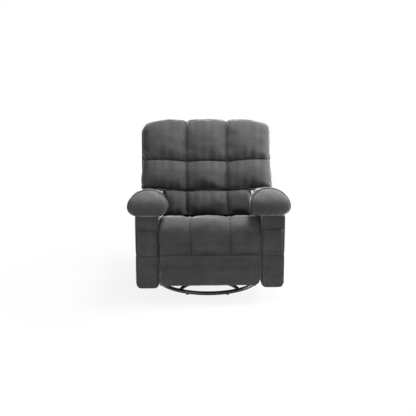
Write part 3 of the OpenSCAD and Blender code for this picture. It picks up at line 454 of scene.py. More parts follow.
def keep(mesh, name, values):
    """Stores one number a vertex as an attribute."""
    layer = mesh.attributes.new(name, "FLOAT", "POINT")
    layer.data.foreach_set("value", np.asarray(values, np.float32))


def read(mesh, name):
    values = np.zeros(len(mesh.vertices), np.float32)
    mesh.attributes[name].data.foreach_get("value", values)
    return values.astype(float)


# How much closer the mesh's lines stand beside a seam than in the middle of a cell
SEAM_GATHER = 0.62


def lerp(a, b, t):
    return a + (b - a) * t


def smooth(t):
    """Eases from 0 to 1, held before and after."""
    t = np.clip(t, 0, 1)
    return t * t * (3 - 2 * t)


def notch(distance, width):
    """1 at the place itself, fading over the width."""
    return np.exp(-((distance / width) ** 2))


def crown(t, power):
    """0 at both ends and 1 in the middle: the higher the power, the flatter."""
    return 1 - np.abs(2 * np.clip(t, 0, 1) - 1) ** power


def own_cell(share, count):
    """Which of a row's cells each share from 0 to 1 lies in, and how far across it."""
    at = share * count
    cell = np.clip(np.floor(at + 1e-9).astype(int), 0, count - 1)
    t = np.clip(at - cell, 0, 1)
    return cell, lerp(t, (1 - np.cos(np.pi * t)) / 2, SEAM_GATHER)


def gathered(places, share):
    """Spreads even shares from 0 to 1 over the seam places, closer together beside each seam."""
    places = np.asarray(places, float)
    cell, t = own_cell(share, len(places) - 1)
    return lerp(places[cell], places[cell + 1], t)


def cell_share(places, x):
    """How far across its own cell each x lies."""
    places = np.asarray(places, float)
    i = np.clip(np.searchsorted(places, x, side="right") - 1, 0, len(places) - 2)
    return np.clip((x - places[i]) / (places[i + 1] - places[i]), 0, 1)


def to_nearest(places, x):
    """Distance from each x to the nearest of the places."""
    return np.min(np.abs(np.subtract.outer(x, np.asarray(places, float))), axis=-1)


def rounded(points, low, high, radius):
    """Rounds the edges and corners of a block of points."""
    low, high, radius = (np.asarray(v, float) * np.ones(3) for v in (low, high, radius))
    core = np.clip(points, low + radius, high - radius)
    out = (points - core) / radius
    length = np.maximum(np.linalg.norm(out, axis=1, keepdims=True), 1e-9)
    return core + out / length * radius * (length > 1e-6)


def uneven(x, y, z, height=0.0012):
    """A slight unevenness, so no two cells of a cushion fold alike."""
    waves = (np.sin(37 * x + 19 * y + 11 * z + 1.3) + np.sin(61 * y - 43 * z + 23 * x)
             + np.sin(83 * z + 71 * x - 29 * y + 0.7) + np.sin(113 * x - 97 * z + 2.1))
    return height * waves / 2


CLOTH_SETTINGS = {
    "quality": 5,
    "mass": 0.25,
    "tension_stiffness": 18,
    "compression_stiffness": 8,
    "shear_stiffness": 6,
    "bending_stiffness": 3.5,
    "air_damping": 3,
    "use_pressure": True,
    "vertex_group_mass": "pin",
    "pin_stiffness": 3,
}
STUFFING_FRAMES = 20


def stuff(piece, cap, pressure, slack=-0.012):
    """Fills a closed cover: a cloth simulation with pressure, held where its pin attribute says.

    No point moves further than the cap.
    """
    mesh = piece.data
    before = points_of(mesh)
    group = piece.vertex_groups.new(name="pin")
    for index, weight in enumerate(read(mesh, "pin")):
        if weight > 0.02:
            group.add([index], float(min(1, weight)), "REPLACE")
    cloth = piece.modifiers.new("stuffing", "CLOTH")
    for name, value in CLOTH_SETTINGS.items():
        setattr(cloth.settings, name, value)
    cloth.settings.uniform_pressure_force = pressure
    cloth.settings.shrink_min = slack
    cloth.settings.effector_weights.gravity = 0
    cloth.collision_settings.use_collision = False
    cloth.collision_settings.use_self_collision = False
    cloth.point_cache.frame_start = 1
    cloth.point_cache.frame_end = STUFFING_FRAMES
    scene = bpy.context.scene
    for number in range(1, STUFFING_FRAMES + 1):
        scene.frame_set(number)
    held = piece.evaluated_get(bpy.context.evaluated_depsgraph_get())
    after = points_of(held.data)
    piece.modifiers.remove(cloth)
    piece.vertex_groups.clear()
    scene.frame_set(1)
    step = after - before
    length = np.maximum(np.linalg.norm(step, axis=1, keepdims=True), 1e-9)
    move_points(mesh, before + step * np.minimum(1, cap / length))


def press_seams(piece, depth):
    """Draws each sewn line into the cushion, along the surface's own normal."""
    mesh = piece.data
    normals = np.zeros(len(mesh.vertices) * 3)
    mesh.vertices.foreach_get("normal", normals)
    inward = normals.reshape(-1, 3) * (read(mesh, "seam") * depth)[:, None]
    move_points(mesh, points_of(mesh) - inward)


def finer(piece):
    """Subdivision of one level, the same in the viewport and the render."""
    made = piece.modifiers.new("finer", "SUBSURF")
    made.levels = made.render_levels = 1


def make_welt(name, points, radius, closed=True):
    """A round cord under cloth, swept along points."""
    curve = bpy.data.curves.new(name, "CURVE")
    curve.dimensions = "3D"
    curve.bevel_depth = radius
    curve.bevel_resolution = 1
    curve.use_fill_caps = True
    line = curve.splines.new("POLY")
    line.points.add(len(points) - 1)
    for target, point in zip(line.points, points):
        target.co = (*point, 1)
    line.use_cyclic_u = closed
    line_holder = placed(name + "_line", curve)
    mesh = bpy.data.meshes.new_from_object(line_holder)
    bpy.data.objects.remove(line_holder)
    bpy.data.curves.remove(curve)
    mesh.name = name
    return finished_piece(name, mesh, welt_fabric())


def on_side(points, side):
    """Points of the sitter's left, on their own side of the chair."""
    return np.asarray(points) * (side, 1, 1)


def place_on_side(piece, points, side):
    """Gives a piece its points on its own side. The mirrored one is turned inside out again."""
    move_points(piece.data, on_side(points, side))
    if side == RIGHT:
        piece.data.flip_normals()


def joined(pieces, name):
    """Several meshes as one piece, with their attributes."""
    bm = bmesh.new()
    for piece in pieces:
        bm.from_mesh(piece.data)
    material = pieces[0].data.materials[0]
    for piece in pieces:
        bpy.data.objects.remove(piece)
    return piece_from(bm, name, material)


# Seat and footrest pad


PAD_T = 0.036
PAD_SWELL = 0.014
PAD_EDGE_R = 0.0155
PAD_CORNER_R = 0.04
PAD_BORDER = 0.016
CHANNEL_SWELL = 1.25
PANEL_SWELL = 0.7
CORNER_RUN = 0.13
NARROW_RUN = 0.05
# Painted highlight on the pad's top, where light from above falls: above a height and before a
# depth, each fading over its run
PAINTED_HIGHLIGHT_SHARE = 0.55
PAINTED_HIGHLIGHT_Z, PAINTED_HIGHLIGHT_Z_RUN = 0.43, 0.07
PAINTED_HIGHLIGHT_Y, PAINTED_HIGHLIGHT_Y_RUN = -0.25, 0.06
SEAT_CREST = (-0.30, 0.512)
SEAT_FALL = 0.2348
SEAT_HOLLOW = 0.08
ROLL_TOP_Y = -0.36
ROLL_END_Z = 0.40
FRONT_Y = KNEE.y - 0.0365
# Points of the pad's middle line, from the rear to the crest, to the roll and along the front
SEAT_POINTS, CREST_POINTS, FRONT_POINTS = 80, 20, 60


def chaise_profile():
    """The pad's middle: from the seat's rear, over the crest and the roll, to the lower edge."""
    y, z = [], []
    for at in np.linspace(SEAT_HIGH.y, SEAT_CREST[0], SEAT_POINTS):
        d = at - SEAT_CREST[0]
        y.append(at)
        z.append(SEAT_CREST[1] - SEAT_FALL * d - SEAT_HOLLOW * d ** 2)
    run = SEAT_CREST[0] - ROLL_TOP_Y
    for share in np.linspace(0, 1, CREST_POINTS)[1:]:
        y.append(SEAT_CREST[0] - run * share)
        z.append(SEAT_CREST[1] + SEAT_FALL * run * (share - share ** 2 / 2))
    top_z = z[-1]
    for turn in np.linspace(0, math.pi / 2, FRONT_POINTS)[1:]:
        y.append(ROLL_TOP_Y + (FRONT_Y - ROLL_TOP_Y) * math.sin(turn))
        z.append(ROLL_END_Z + (top_z - ROLL_END_Z) * math.cos(turn))
    for at in np.linspace(ROLL_END_Z, REST_LOW.z, FRONT_POINTS)[1:]:
        y.append(FRONT_Y)
        z.append(at)
    line = np.stack([y, z], -1)
    tangent = np.gradient(line, axis=0)
    tangent /= np.linalg.norm(tangent, axis=1, keepdims=True)
    normal = np.stack([tangent[:, 1], -tangent[:, 0]], -1)
    base = line - normal * PAD_SWELL
    steps = np.linalg.norm(np.diff(base, axis=0), axis=1)
    return np.concatenate([[0], np.cumsum(steps)]), base, normal


def along_profile(profile, s):
    """Places and outward normals at the lengths s of the pad."""
    length, base, normal = profile
    place = np.stack([np.interp(s, length, base[:, k]) for k in (0, 1)], -1)
    out = np.stack([np.interp(s, length, normal[:, k]) for k in (0, 1)], -1)
    return place, out / np.linalg.norm(out, axis=1, keepdims=True)


def make_chaise(sizes):
    """One channelled pad from the seat's rear, over the roll, to the footrest's lower edge."""
    profile = chaise_profile()
    end_s = profile[0][-1]
    belt_s = end_s - (sizes.belt - REST_LOW.z)
    front_s = end_s - (ROLL_END_Z - REST_LOW.z)
    half = SEAT_HIGH.x - 0.001
    seams_x = [-half, -sizes.channel_w / 2, sizes.channel_w / 2, half]
    stops = [0, belt_s * 0.5, belt_s, end_s]
    bm = unit_block((3 * sizes.cells, 3 * sizes.cells, 3))
    pad = piece_from(bm, "chaise_pad", chenille("seat_chenille", ALONG_X))
    share = points_of(pad.data)
    x = gathered(seams_x, share[:, 0])
    s = gathered(stops, share[:, 1])
    h = share[:, 2] * PAD_T - PAD_T
    outer = share[:, 2]
    local = rounded(np.stack([x, s, h], -1), (-half, 0, -PAD_T), (half, end_s, 0), PAD_EDGE_R)
    # Each channel swells by itself over the belt seam, and the panel below it as one
    over_belt = s < belt_s
    along = np.where(over_belt, crown(s / belt_s * 0.5 + 0.5, 9),
                     crown((s - belt_s) / (end_s - belt_s), 5))
    channel = crown(cell_share(seams_x, x), 3.4) * along * PAD_SWELL * CHANNEL_SWELL
    panel = crown((x + half) / (2 * half), 6) * along * PAD_SWELL * PANEL_SWELL
    local[:, 2] += (np.where(over_belt, channel, panel) + uneven(x, s, h)) * outer
    # The lower corners are round
    past = np.clip(np.abs(local[:, 0]) - half + PAD_CORNER_R, 0, None)
    lift = PAD_CORNER_R - np.sqrt(np.maximum(PAD_CORNER_R ** 2 - past ** 2, 0))
    local[:, 1] -= lift * smooth((local[:, 1] - end_s + CORNER_RUN) / CORNER_RUN)
    narrow = smooth((local[:, 1] - front_s) / NARROW_RUN) * (SEAT_HIGH.x - REST_HIGH.x)
    place, normal = along_profile(profile, local[:, 1])
    place = place + normal * local[:, 2:3]
    y, z = place[:, 0], place[:, 1]
    move_points(pad.data, np.stack([local[:, 0] * (1 - narrow / half), y, z], -1))
    channels = notch(to_nearest(seams_x[1:3], x), sizes.seam_width) * over_belt
    seams = np.maximum(channels, notch(s - belt_s, sizes.seam_width)) * (outer > 0.9)
    keep(pad.data, "seam", seams)
    # Painted highlight over the top of the seat's roll
    keep(pad.data, "rubbed", PAINTED_HIGHLIGHT_SHARE * smooth((z - PAINTED_HIGHLIGHT_Z) / PAINTED_HIGHLIGHT_Z_RUN)
         * smooth((PAINTED_HIGHLIGHT_Y - y) / PAINTED_HIGHLIGHT_Y_RUN))
    border = notch(half - np.abs(x), PAD_BORDER)
    keep(pad.data, "pin", np.maximum(np.maximum(seams, border), (outer < 0.9) * 1.0))
    stuff(pad, cap=0.006, pressure=3.0)
    press_seams(pad, sizes.seam_depth)
    finer(pad)
    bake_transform(pad)
    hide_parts("seat_cushion", "footrest_pad")


def make_seat_core():
    """The foam under the seat's pad."""
    seat = piece_from(unit_block((10, 24, 4)), "seat_core", lining())
    low = np.array([-SEAT_HIGH.x + 0.004, KNEE.y + 0.075, SEAT_LOW.z])
    high = np.array([SEAT_HIGH.x - 0.004, SEAT_HIGH.y - 0.004, KNEE.z])
    points = rounded(lerp(low, high, points_of(seat.data)), low, high, (0.012, 0.02, 0.008))
    _, base, _ = chaise_profile()
    under_pad = base[:SEAT_POINTS + CREST_POINTS][::-1]
    top = np.interp(points[:, 1], under_pad[:, 0], under_pad[:, 1]) - PAD_T - 0.002
    points[:, 2] = lerp(low[2], top, (points[:, 2] - low[2]) / (high[2] - low[2]))
    move_points(seat.data, points)
    finer(seat)
    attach(seat, "seat")


def make_rest_core():
    """The covered board behind the footrest's pad."""
    rest = piece_from(unit_block((30, 6, 30)), "footrest_core",
                      chenille("rest_core_chenille", ALONG_X))
    low = np.array([-REST_HIGH.x + 0.002, FRONT_Y + PAD_SWELL + PAD_T - 0.001, REST_LOW.z + 0.004])
    high = np.array([REST_HIGH.x - 0.002, BOARD_HIGH.y + 0.0025, BOARD_HIGH.z + 0.004])
    points = rounded(lerp(low, high, points_of(rest.data)), low, high, (0.034, 0.006, 0.034))
    move_points(rest.data, points)
    finer(rest)
    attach(rest, "footrest")


# Back


FRONT_LEAN = math.tan(math.radians(18.4))
BACK_FOOT_Y = 0.112
BACK_SIDE_R = 0.034
BACK_SHOULDER_R = 0.034
BACK_TOP_R = 0.048
BACK_TOP_H = 0.052
WING_Z = 0.573
WAIST = 0.297
WAIST_FOOT = 0.012
FRONT_SET_BACK = 0.011
FOOT_TUCK = 0.03
SIDE_BULGE = 0.007
UNDER_ROW_SINK = 0.008
# The top's corners drop, and it dips at the columns' seams
CORNER_DROP = 0.044
TOP_DROP = 0.011
TOP_NOTCH = 0.010
TOP_DIP_X = 0.3
# The rows of tufts arch over each cell, and climb towards the sides
ROW_ARCH = 0.010
ROW_REACH = 0.05
ROW_CLIMB = 0.026
ROW_SET = 0.014
TUFT_DEPTH = 0.012
TUFT_R = 0.035
CASE_TOP_Z = 0.989
CASE_WING_Z = 0.536
CASE_FOOT_Y = 0.318
CASE_SLOPE = (CASE_HIGH.y - CASE_FOOT_Y) / (CASE_TOP_Z - CASE_LOW.z)
CASE_LEAN = math.atan(CASE_SLOPE)
CASE_LENGTH = (CASE_TOP_Z - CASE_LOW.z) / math.cos(CASE_LEAN)
CASE_WING = (CASE_TOP_Z - CASE_WING_Z) / math.cos(CASE_LEAN)
CASE_DEPTH = 0.045
CASE_WAIST = 0.298
CASE_CORNER_R = 0.07
CASE_EDGE_R = 0.012
CASE_FILL = 0.005
CASE_SEAM_X = 0.17
CASE_SEAM_DEPTH = 0.004
CASE_STEP = 0.0006
# How far the cover stands over the case's front, and its welt within the case's sides
COVER_OVER = 0.0015
CUSHION_TO_CASE_REAR = 0.0495


def back_front(z):
    """The depth of the back cushion's front at a height."""
    return BACK_FOOT_Y + (z - BACK_LOW.z) * FRONT_LEAN


def back_rear(z):
    """The depth of the back cushion's rear, before the case."""
    return CASE_HIGH.y + (z - CASE_TOP_Z) * CASE_SLOPE - CUSHION_TO_CASE_REAR


def back_half_width(z):
    """Wider at the wings, drawn in at the upper tufts and round at the shoulders."""
    wide = BACK_HIGH.x - 0.017 + 0.010 * smooth((0.72 - z) / 0.09) - 0.004 * notch(z - 0.76, 0.03)
    past = np.clip(z - BACK_HIGH.z + BACK_SHOULDER_R, 0, BACK_SHOULDER_R)
    return wide - (BACK_SHOULDER_R - np.sqrt(BACK_SHOULDER_R ** 2 - past ** 2)) * 0.8


def make_back_part(sizes, name, seams_z, top):
    """A closed part of the back's pillow: three columns of cells, swollen between their seams."""
    bm = unit_block((3 * sizes.cells, 14, (len(seams_z) - 1) * sizes.cells))
    part = piece_from(bm, name, chenille("back_chenille", ALONG_X, 0.55))
    share = points_of(part.data)
    depth = share[:, 1]
    level = gathered(seams_z, share[:, 2])
    half = back_half_width(level) if top else np.full(len(level), WAIST)
    edge = np.full(len(level), sizes.column_w / 2)
    column, t = own_cell(share[:, 0], 3)
    x = lerp(np.choose(column, [-half, -edge, edge]), np.choose(column, [-edge, edge, half]), t)
    out = np.clip((np.abs(x) - edge) / (BACK_HIGH.x - edge), 0, 1)
    up = np.clip((level - sizes.row_high) / (BACK_HIGH.z - sizes.row_high), 0, 1)
    at_foot = level - seams_z[0]
    low_row = notch(level - sizes.row_low, ROW_REACH) * smooth(at_foot / 0.01 + 0.3)
    high_row = notch(level - sizes.row_high, ROW_REACH)
    arch = ROW_ARCH * (low_row + high_row) * crown(t, 2)
    rise = low_row * (ROW_CLIMB * out ** 1.5 - ROW_SET) + ROW_SET * high_row * out
    corner = CORNER_DROP * up * out ** 3
    dip = ROW_ARCH * up * (1 - crown(t, 2)) * (np.abs(x) < TOP_DIP_X)
    z = level + arch + rise - corner - dip
    row = cell_share(seams_z, level)
    swell = sizes.swell * crown(t, 2.5) * crown(row, 2.5)
    if top:
        under_row = swell * 0.25 - UNDER_ROW_SINK * (np.abs(x) < WAIST)
        swell = np.where(level < sizes.row_low, under_row, swell)
    to_column = np.abs(np.abs(x) - edge)
    to_tuft = np.hypot(to_column, to_nearest([sizes.row_low, sizes.row_high], level))
    swell = swell + 2 * uneven(x, level, depth) - TUFT_DEPTH * notch(to_tuft, TUFT_R)
    inward = np.clip((half - np.abs(x)) / BACK_SIDE_R, 0, 1)
    side_turn = BACK_SIDE_R * (1 - np.sqrt(1 - (1 - inward) ** 2))
    tuck = FOOT_TUCK * notch(at_foot, 0.012) * (1 - smooth(out * 3)) * top
    front = back_front(z) + FRONT_SET_BACK - swell * smooth(inward) + side_turn * 0.9 + tuck
    rear = back_rear(z)
    if top:
        tip = np.clip((level - BACK_HIGH.z + BACK_TOP_H) / BACK_TOP_H, 0, 1)
        turn = BACK_TOP_R * (1 - np.sqrt(1 - tip ** 2))
        front = front + turn
        rear = rear - turn * 0.5
        z = z - TOP_NOTCH * notch(to_column, 0.012) * smooth(tip) - TOP_DROP * up ** 2
    y = lerp(front, rear, smooth(depth) * 0.35 + depth * 0.65)
    bulge = SIDE_BULGE * crown(depth, 2) * (np.abs(share[:, 0] - 0.5) > 0.499) * crown(row, 3)
    x = x + np.sign(x) * bulge
    move_points(part.data, np.stack([x, y, z], -1))
    upright = notch(to_column, sizes.seam_width)
    across = notch(to_nearest(seams_z[1:-1], level), sizes.seam_width) if top else 0
    over_top = upright * (share[:, 2] > 0.999) * (depth < 0.6) * top
    seams = np.maximum(np.maximum(upright, across) * (depth < 0.02), over_top)
    keep(part.data, "seam", seams)
    hidden = (depth > 0.5) | (share[:, 2] < 0.01) | ((share[:, 2] > 0.99) & (not top))
    keep(part.data, "pin", np.maximum(seams, hidden * 1.0))
    stuff(part, cap=0.020, pressure=3.2)
    press_seams(part, sizes.seam_depth)
    return part


def make_back_cushion(sizes):
    """The back's pillow: two tufted rows with wings over the arms, and a lumbar row under them."""
    rows = [WING_Z - 0.005, sizes.row_low, sizes.row_high, BACK_HIGH.z]
    lumbar = [BACK_LOW.z - WAIST_FOOT, WING_Z - 0.003]
    cushion = joined([make_back_part(sizes, "back_upper", rows, True),
                      make_back_part(sizes, "back_lumbar", lumbar, False)], "tufted_back")
    finer(cushion)
    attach(cushion, "back")
    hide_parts("back_cushion")


def case_point(x, out, down):
    """A point of the outside back: out is before its rear face, down is below its top along it."""
    back, up = math.sin(CASE_LEAN), math.cos(CASE_LEAN)
    y = CASE_HIGH.y - down * back - out * up
    z = CASE_TOP_Z - down * up + out * back
    return np.stack([x, y, z], -1)


def case_half_width(down):
    high = np.clip(CASE_CORNER_R - down, 0, CASE_CORNER_R)
    wide = CASE_HIGH.x - (CASE_CORNER_R - np.sqrt(CASE_CORNER_R ** 2 - high ** 2))
    return np.where(down > CASE_WING, CASE_WAIST, wide)


def make_outside_back(sizes):
    """The outside back: a padded cover with two upright seams and a welt round its edge."""
    above_step, below_step = CASE_WING - CASE_STEP, CASE_WING + CASE_STEP
    cover = piece_from(unit_block((36, 6, 72)), "outside_back",
                       chenille("outside_chenille", ALONG_X))
    share = points_of(cover.data)
    down = np.interp(share[:, 2] * 72, (0, 34, 36, 72), (CASE_LENGTH, below_step, above_step, 0))
    half = case_half_width(down)
    x = (share[:, 0] * 2 - 1) * half
    at_rear = share[:, 1]
    edge = np.clip((half - np.abs(x)) / CASE_EDGE_R, 0, 1)
    ends = np.clip(np.minimum(down, CASE_LENGTH - down) / CASE_EDGE_R, 0, 1)
    turn = (1 - np.minimum(edge, ends)) ** 2 * 0.003
    width = np.clip((x / half + 1) / 2, 0, 1)
    fill = CASE_FILL * crown(width, 3) * crown(down / CASE_LENGTH, 3)
    out = lerp(CASE_DEPTH + COVER_OVER, turn - fill - 0.0005, at_rear)
    move_points(cover.data, case_point(x * 1.0015, out, down - 0.0012 * (down < 0.001)))
    seams = notch(np.abs(x) - CASE_SEAM_X, 0.004) * (at_rear > 0.99)
    keep(cover.data, "seam", seams)
    press_seams(cover, CASE_SEAM_DEPTH)
    finer(cover)
    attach(cover, "back")
    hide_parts("back_case")
    corner = CASE_CORNER_R * (1 - np.cos(np.linspace(0, math.pi / 2, 12)))
    down = np.array([*corner, *np.linspace(0.08, above_step, 20), below_step,
                     *np.linspace(CASE_WING + 0.01, CASE_LENGTH - 0.002, 14)])
    line = case_point(case_half_width(down) - COVER_OVER, 0.002, down)
    loop = np.concatenate([on_side(line[::-1], RIGHT), line])
    welt = make_welt("outside_back_welt", loop, sizes.welt)
    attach(welt, "back")


# Arms


# Sizes of a pillow's section at shares of its length
PILLOW_STOPS = (0, 0.012, 0.05, 0.12, 0.3, 0.55, 0.8, 0.95, 1)
PILLOW_SIZES = (1.0, 1.01, 1.015, 1.015, 1.005, 0.995, 0.98, 0.94, 0.84)
# Heights of its middle and of its top, in front and at the rear
PILLOW_MID = (0.597, 0.562)
PILLOW_TOP = (0.691, 0.584)
PILLOW_FOOT = 0.536
PILLOW_REAR_Y = 0.138
PILLOW_SEAM_DEPTH = 0.003
PILLOW_TAPER_IN = 0.036
PILLOW_TAPER_OUT = 0.009
# The two pillows lie a little differently: further in, trimmed outside, higher
PILLOW_INWARD = {LEFT: 0.017, RIGHT: 0.0}
PILLOW_TRIM = {LEFT: 0.021, RIGHT: 0.006}
PILLOW_LIFT = {LEFT: 0.006, RIGHT: 0.0}
CAP_BULGE = 0.032
CAP_FOOT = 0.019
CAP_LEAN = 0.055
CAP_CENTRE = -0.3
REAR_BULGE = 0.012
RIPPLE = 0.0008
# Powers that shape the quarters of its section: below 1 is squarer, above 1 leaner
OUTER_RISE, OTHER_RISE = 1.02, 0.9
OUTER_WIDE, INNER_WIDE, LOWER_WIDE = 1.12, 0.85, 0.7
# Share of its height from which a painted highlight lightens the cap, as light from above would
PAINTED_HIGHLIGHT_FROM = 0.42


def pillow_points(disc_x, disc_z, place, bulge, side):
    """Points of an arm pillow, for places in its round section and along its length."""
    angle = np.arctan2(disc_z, disc_x)
    turn_x, turn_z = np.cos(angle), np.sin(angle)
    radius = np.minimum(np.hypot(disc_x, disc_z), 1)
    size = np.interp(place, PILLOW_STOPS, PILLOW_SIZES) * radius
    # The dome of a cap has its peak below the middle of the section
    off = disc_z - CAP_CENTRE
    away = np.maximum(disc_x ** 2 + off ** 2, 1e-9)
    across = CAP_CENTRE * off
    dome = away / (np.sqrt(across ** 2 + away * (1 - CAP_CENTRE ** 2)) - across)
    slim = smooth((place - 0.12) * 3)
    x_in = (PILLOW_LOW.x + 0.0005 - PILLOW_INWARD[side] * (1 - slim)
            + PILLOW_TAPER_IN * smooth((place - 0.02) * 2.2))
    x_out = PILLOW_HIGH.x - PILLOW_TAPER_OUT * slim - PILLOW_TRIM[side] * (1 - slim)
    middle = lerp(*PILLOW_MID, place)
    top = lerp(*PILLOW_TOP, place) - middle + PILLOW_LIFT[side]
    low = middle - PILLOW_FOOT
    up = turn_z > 0
    out = up & (turn_x > 0)
    steep = np.sign(turn_z) * np.abs(turn_z) ** np.where(out, OUTER_RISE, OTHER_RISE)
    rise = np.maximum(size * steep * np.where(up, top, low), -low)
    power = np.where(out, OUTER_WIDE, np.where(up, INNER_WIDE, LOWER_WIDE))
    wide = np.sign(turn_x) * np.abs(turn_x) ** power
    x = lerp(x_in, x_out, 0.5 + size * wide / 2)
    foot = PILLOW_LOW.y + CAP_FOOT + CAP_LEAN * ((rise + low) / (top + low)) ** 3
    rear_lean = FRONT_LEAN * smooth(2 * place - 1) * rise
    y = lerp(foot, PILLOW_REAR_Y, place) + rear_lean + bulge * np.clip(1 - dome ** 2, 0, 1) ** 0.6
    return np.stack([x, y, middle + rise], -1)


def make_pillow(sizes, side, name):
    """An arm pillow: a mushroom section with a welted front cap that swells behind it."""
    bm = unit_block((sizes.cells, 2 * sizes.cells, sizes.cells))
    pillow = piece_from(bm, name + "_pillow", chenille("pillow_chenille", ALONG_Y))
    share = points_of(pillow.data)
    a = share[:, 0] * 2 - 1
    b = share[:, 2] * 2 - 1
    disc_x = a * np.sqrt(1 - b ** 2 / 2)
    disc_z = b * np.sqrt(1 - a ** 2 / 2)
    place = share[:, 1] * 0.5 + share[:, 1] ** 2 * 0.5
    front_cap = share[:, 1] < 1e-4
    rear_cap = share[:, 1] > 1 - 1e-4
    body = ~front_cap & ~rear_cap
    bulge = np.where(front_cap, -CAP_BULGE, 0) + np.where(rear_cap, REAR_BULGE, 0)
    points = pillow_points(disc_x, disc_z, place, bulge, side)
    ripple = RIPPLE * np.sin(points[:, 1] * 41 + 2.1 * np.sin(points[:, 2] * 23)) * body
    ripple *= smooth((place - 0.05) / 0.2) * smooth((1 - place) / 0.2)
    normal = np.stack([disc_x, np.zeros(len(a)), disc_z], -1)
    points = points + normal * ripple[:, None]
    place_on_side(pillow, points, side)
    rim = notch((np.hypot(disc_x, disc_z) - 1) * 0.1, 0.004) * front_cap
    seams = np.maximum(rim, notch(place * 0.6, 0.006) * body)
    keep(pillow.data, "seam", seams)
    # Painted highlight: the upper part of the cap lighter, the body's top less so
    height = (points[:, 2] - PILLOW_FOOT) / (lerp(*PILLOW_TOP, place) - PILLOW_FOOT)
    rubbed = smooth((height - PAINTED_HIGHLIGHT_FROM) / PAINTED_HIGHLIGHT_FROM)
    keep(pillow.data, "rubbed", rubbed * np.where(front_cap, 1, 0.4))
    held = (points[:, 2] < PILLOW_FOOT + 0.004) | rear_cap
    keep(pillow.data, "pin", np.maximum(seams, held * 1.0))
    stuff(pillow, cap=0.003, pressure=2.4, slack=-0.02)
    press_seams(pillow, PILLOW_SEAM_DEPTH)
    finer(pillow)
    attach(pillow, "seat")
    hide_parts(name + "_arm_pillow")
    turn = np.linspace(0, 2 * math.pi, 97)[:-1]
    loop = pillow_points(np.cos(turn) * 0.999, np.sin(turn) * 0.999, np.zeros(len(turn)), 0, side)
    loop[:, 1] -= 0.001
    welt = make_welt(name + "_pillow_welt", on_side(loop, side), sizes.welt)
    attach(welt, "seat")


ARM_CORNER_R = 0.030
ARM_FRONT_R = 0.012
ARM_SEAM_DEPTH = 0.0035
ARM_FRONT_PUFF = 0.0045
ARM_SIDE_PUFF = 0.006
# The front edge is set in a little, over a short depth
EDGE_IN = 0.0046
EDGE_DEPTH = 0.012
# Behind the pillow the top falls to its frame, and its rear edge is round
TOP_FALL_Y = 0.10
TOP_FALL_RUN = 0.05
TOP_BENDS_FROM_Z = 0.44
REAR_FALL = 0.006
REAR_FALL_Y = 0.318
REAR_FALL_RUN = 0.02
CUP_RIM = 0.006
CUP_FLAT = 0.012
BELT_EDGE = 0.006
ARM_WELT_SHARE = 0.7
WELT_IN = 0.0016
WELT_BACK = 0.0024
WELT_TOP = 0.002


def arm_welt_line(low, high):
    """Down the arm's front edge, round its lower corners and up again."""
    bend = ARM_CORNER_R - WELT_IN
    line = [(high[0] - WELT_IN, high[2] - WELT_TOP)]
    for turn in np.linspace(0, math.pi / 2, 9):
        line.append((high[0] - ARM_CORNER_R + bend * math.cos(turn),
                     low[2] + ARM_CORNER_R - bend * math.sin(turn)))
    for turn in np.linspace(0, math.pi / 2, 9):
        line.append((low[0] + ARM_CORNER_R - bend * math.sin(turn),
                     low[2] + ARM_CORNER_R - bend * math.cos(turn)))
    line.append((low[0] + WELT_IN, high[2] - WELT_TOP))
    return np.array([(x, low[1] + WELT_BACK, z) for x, z in line])


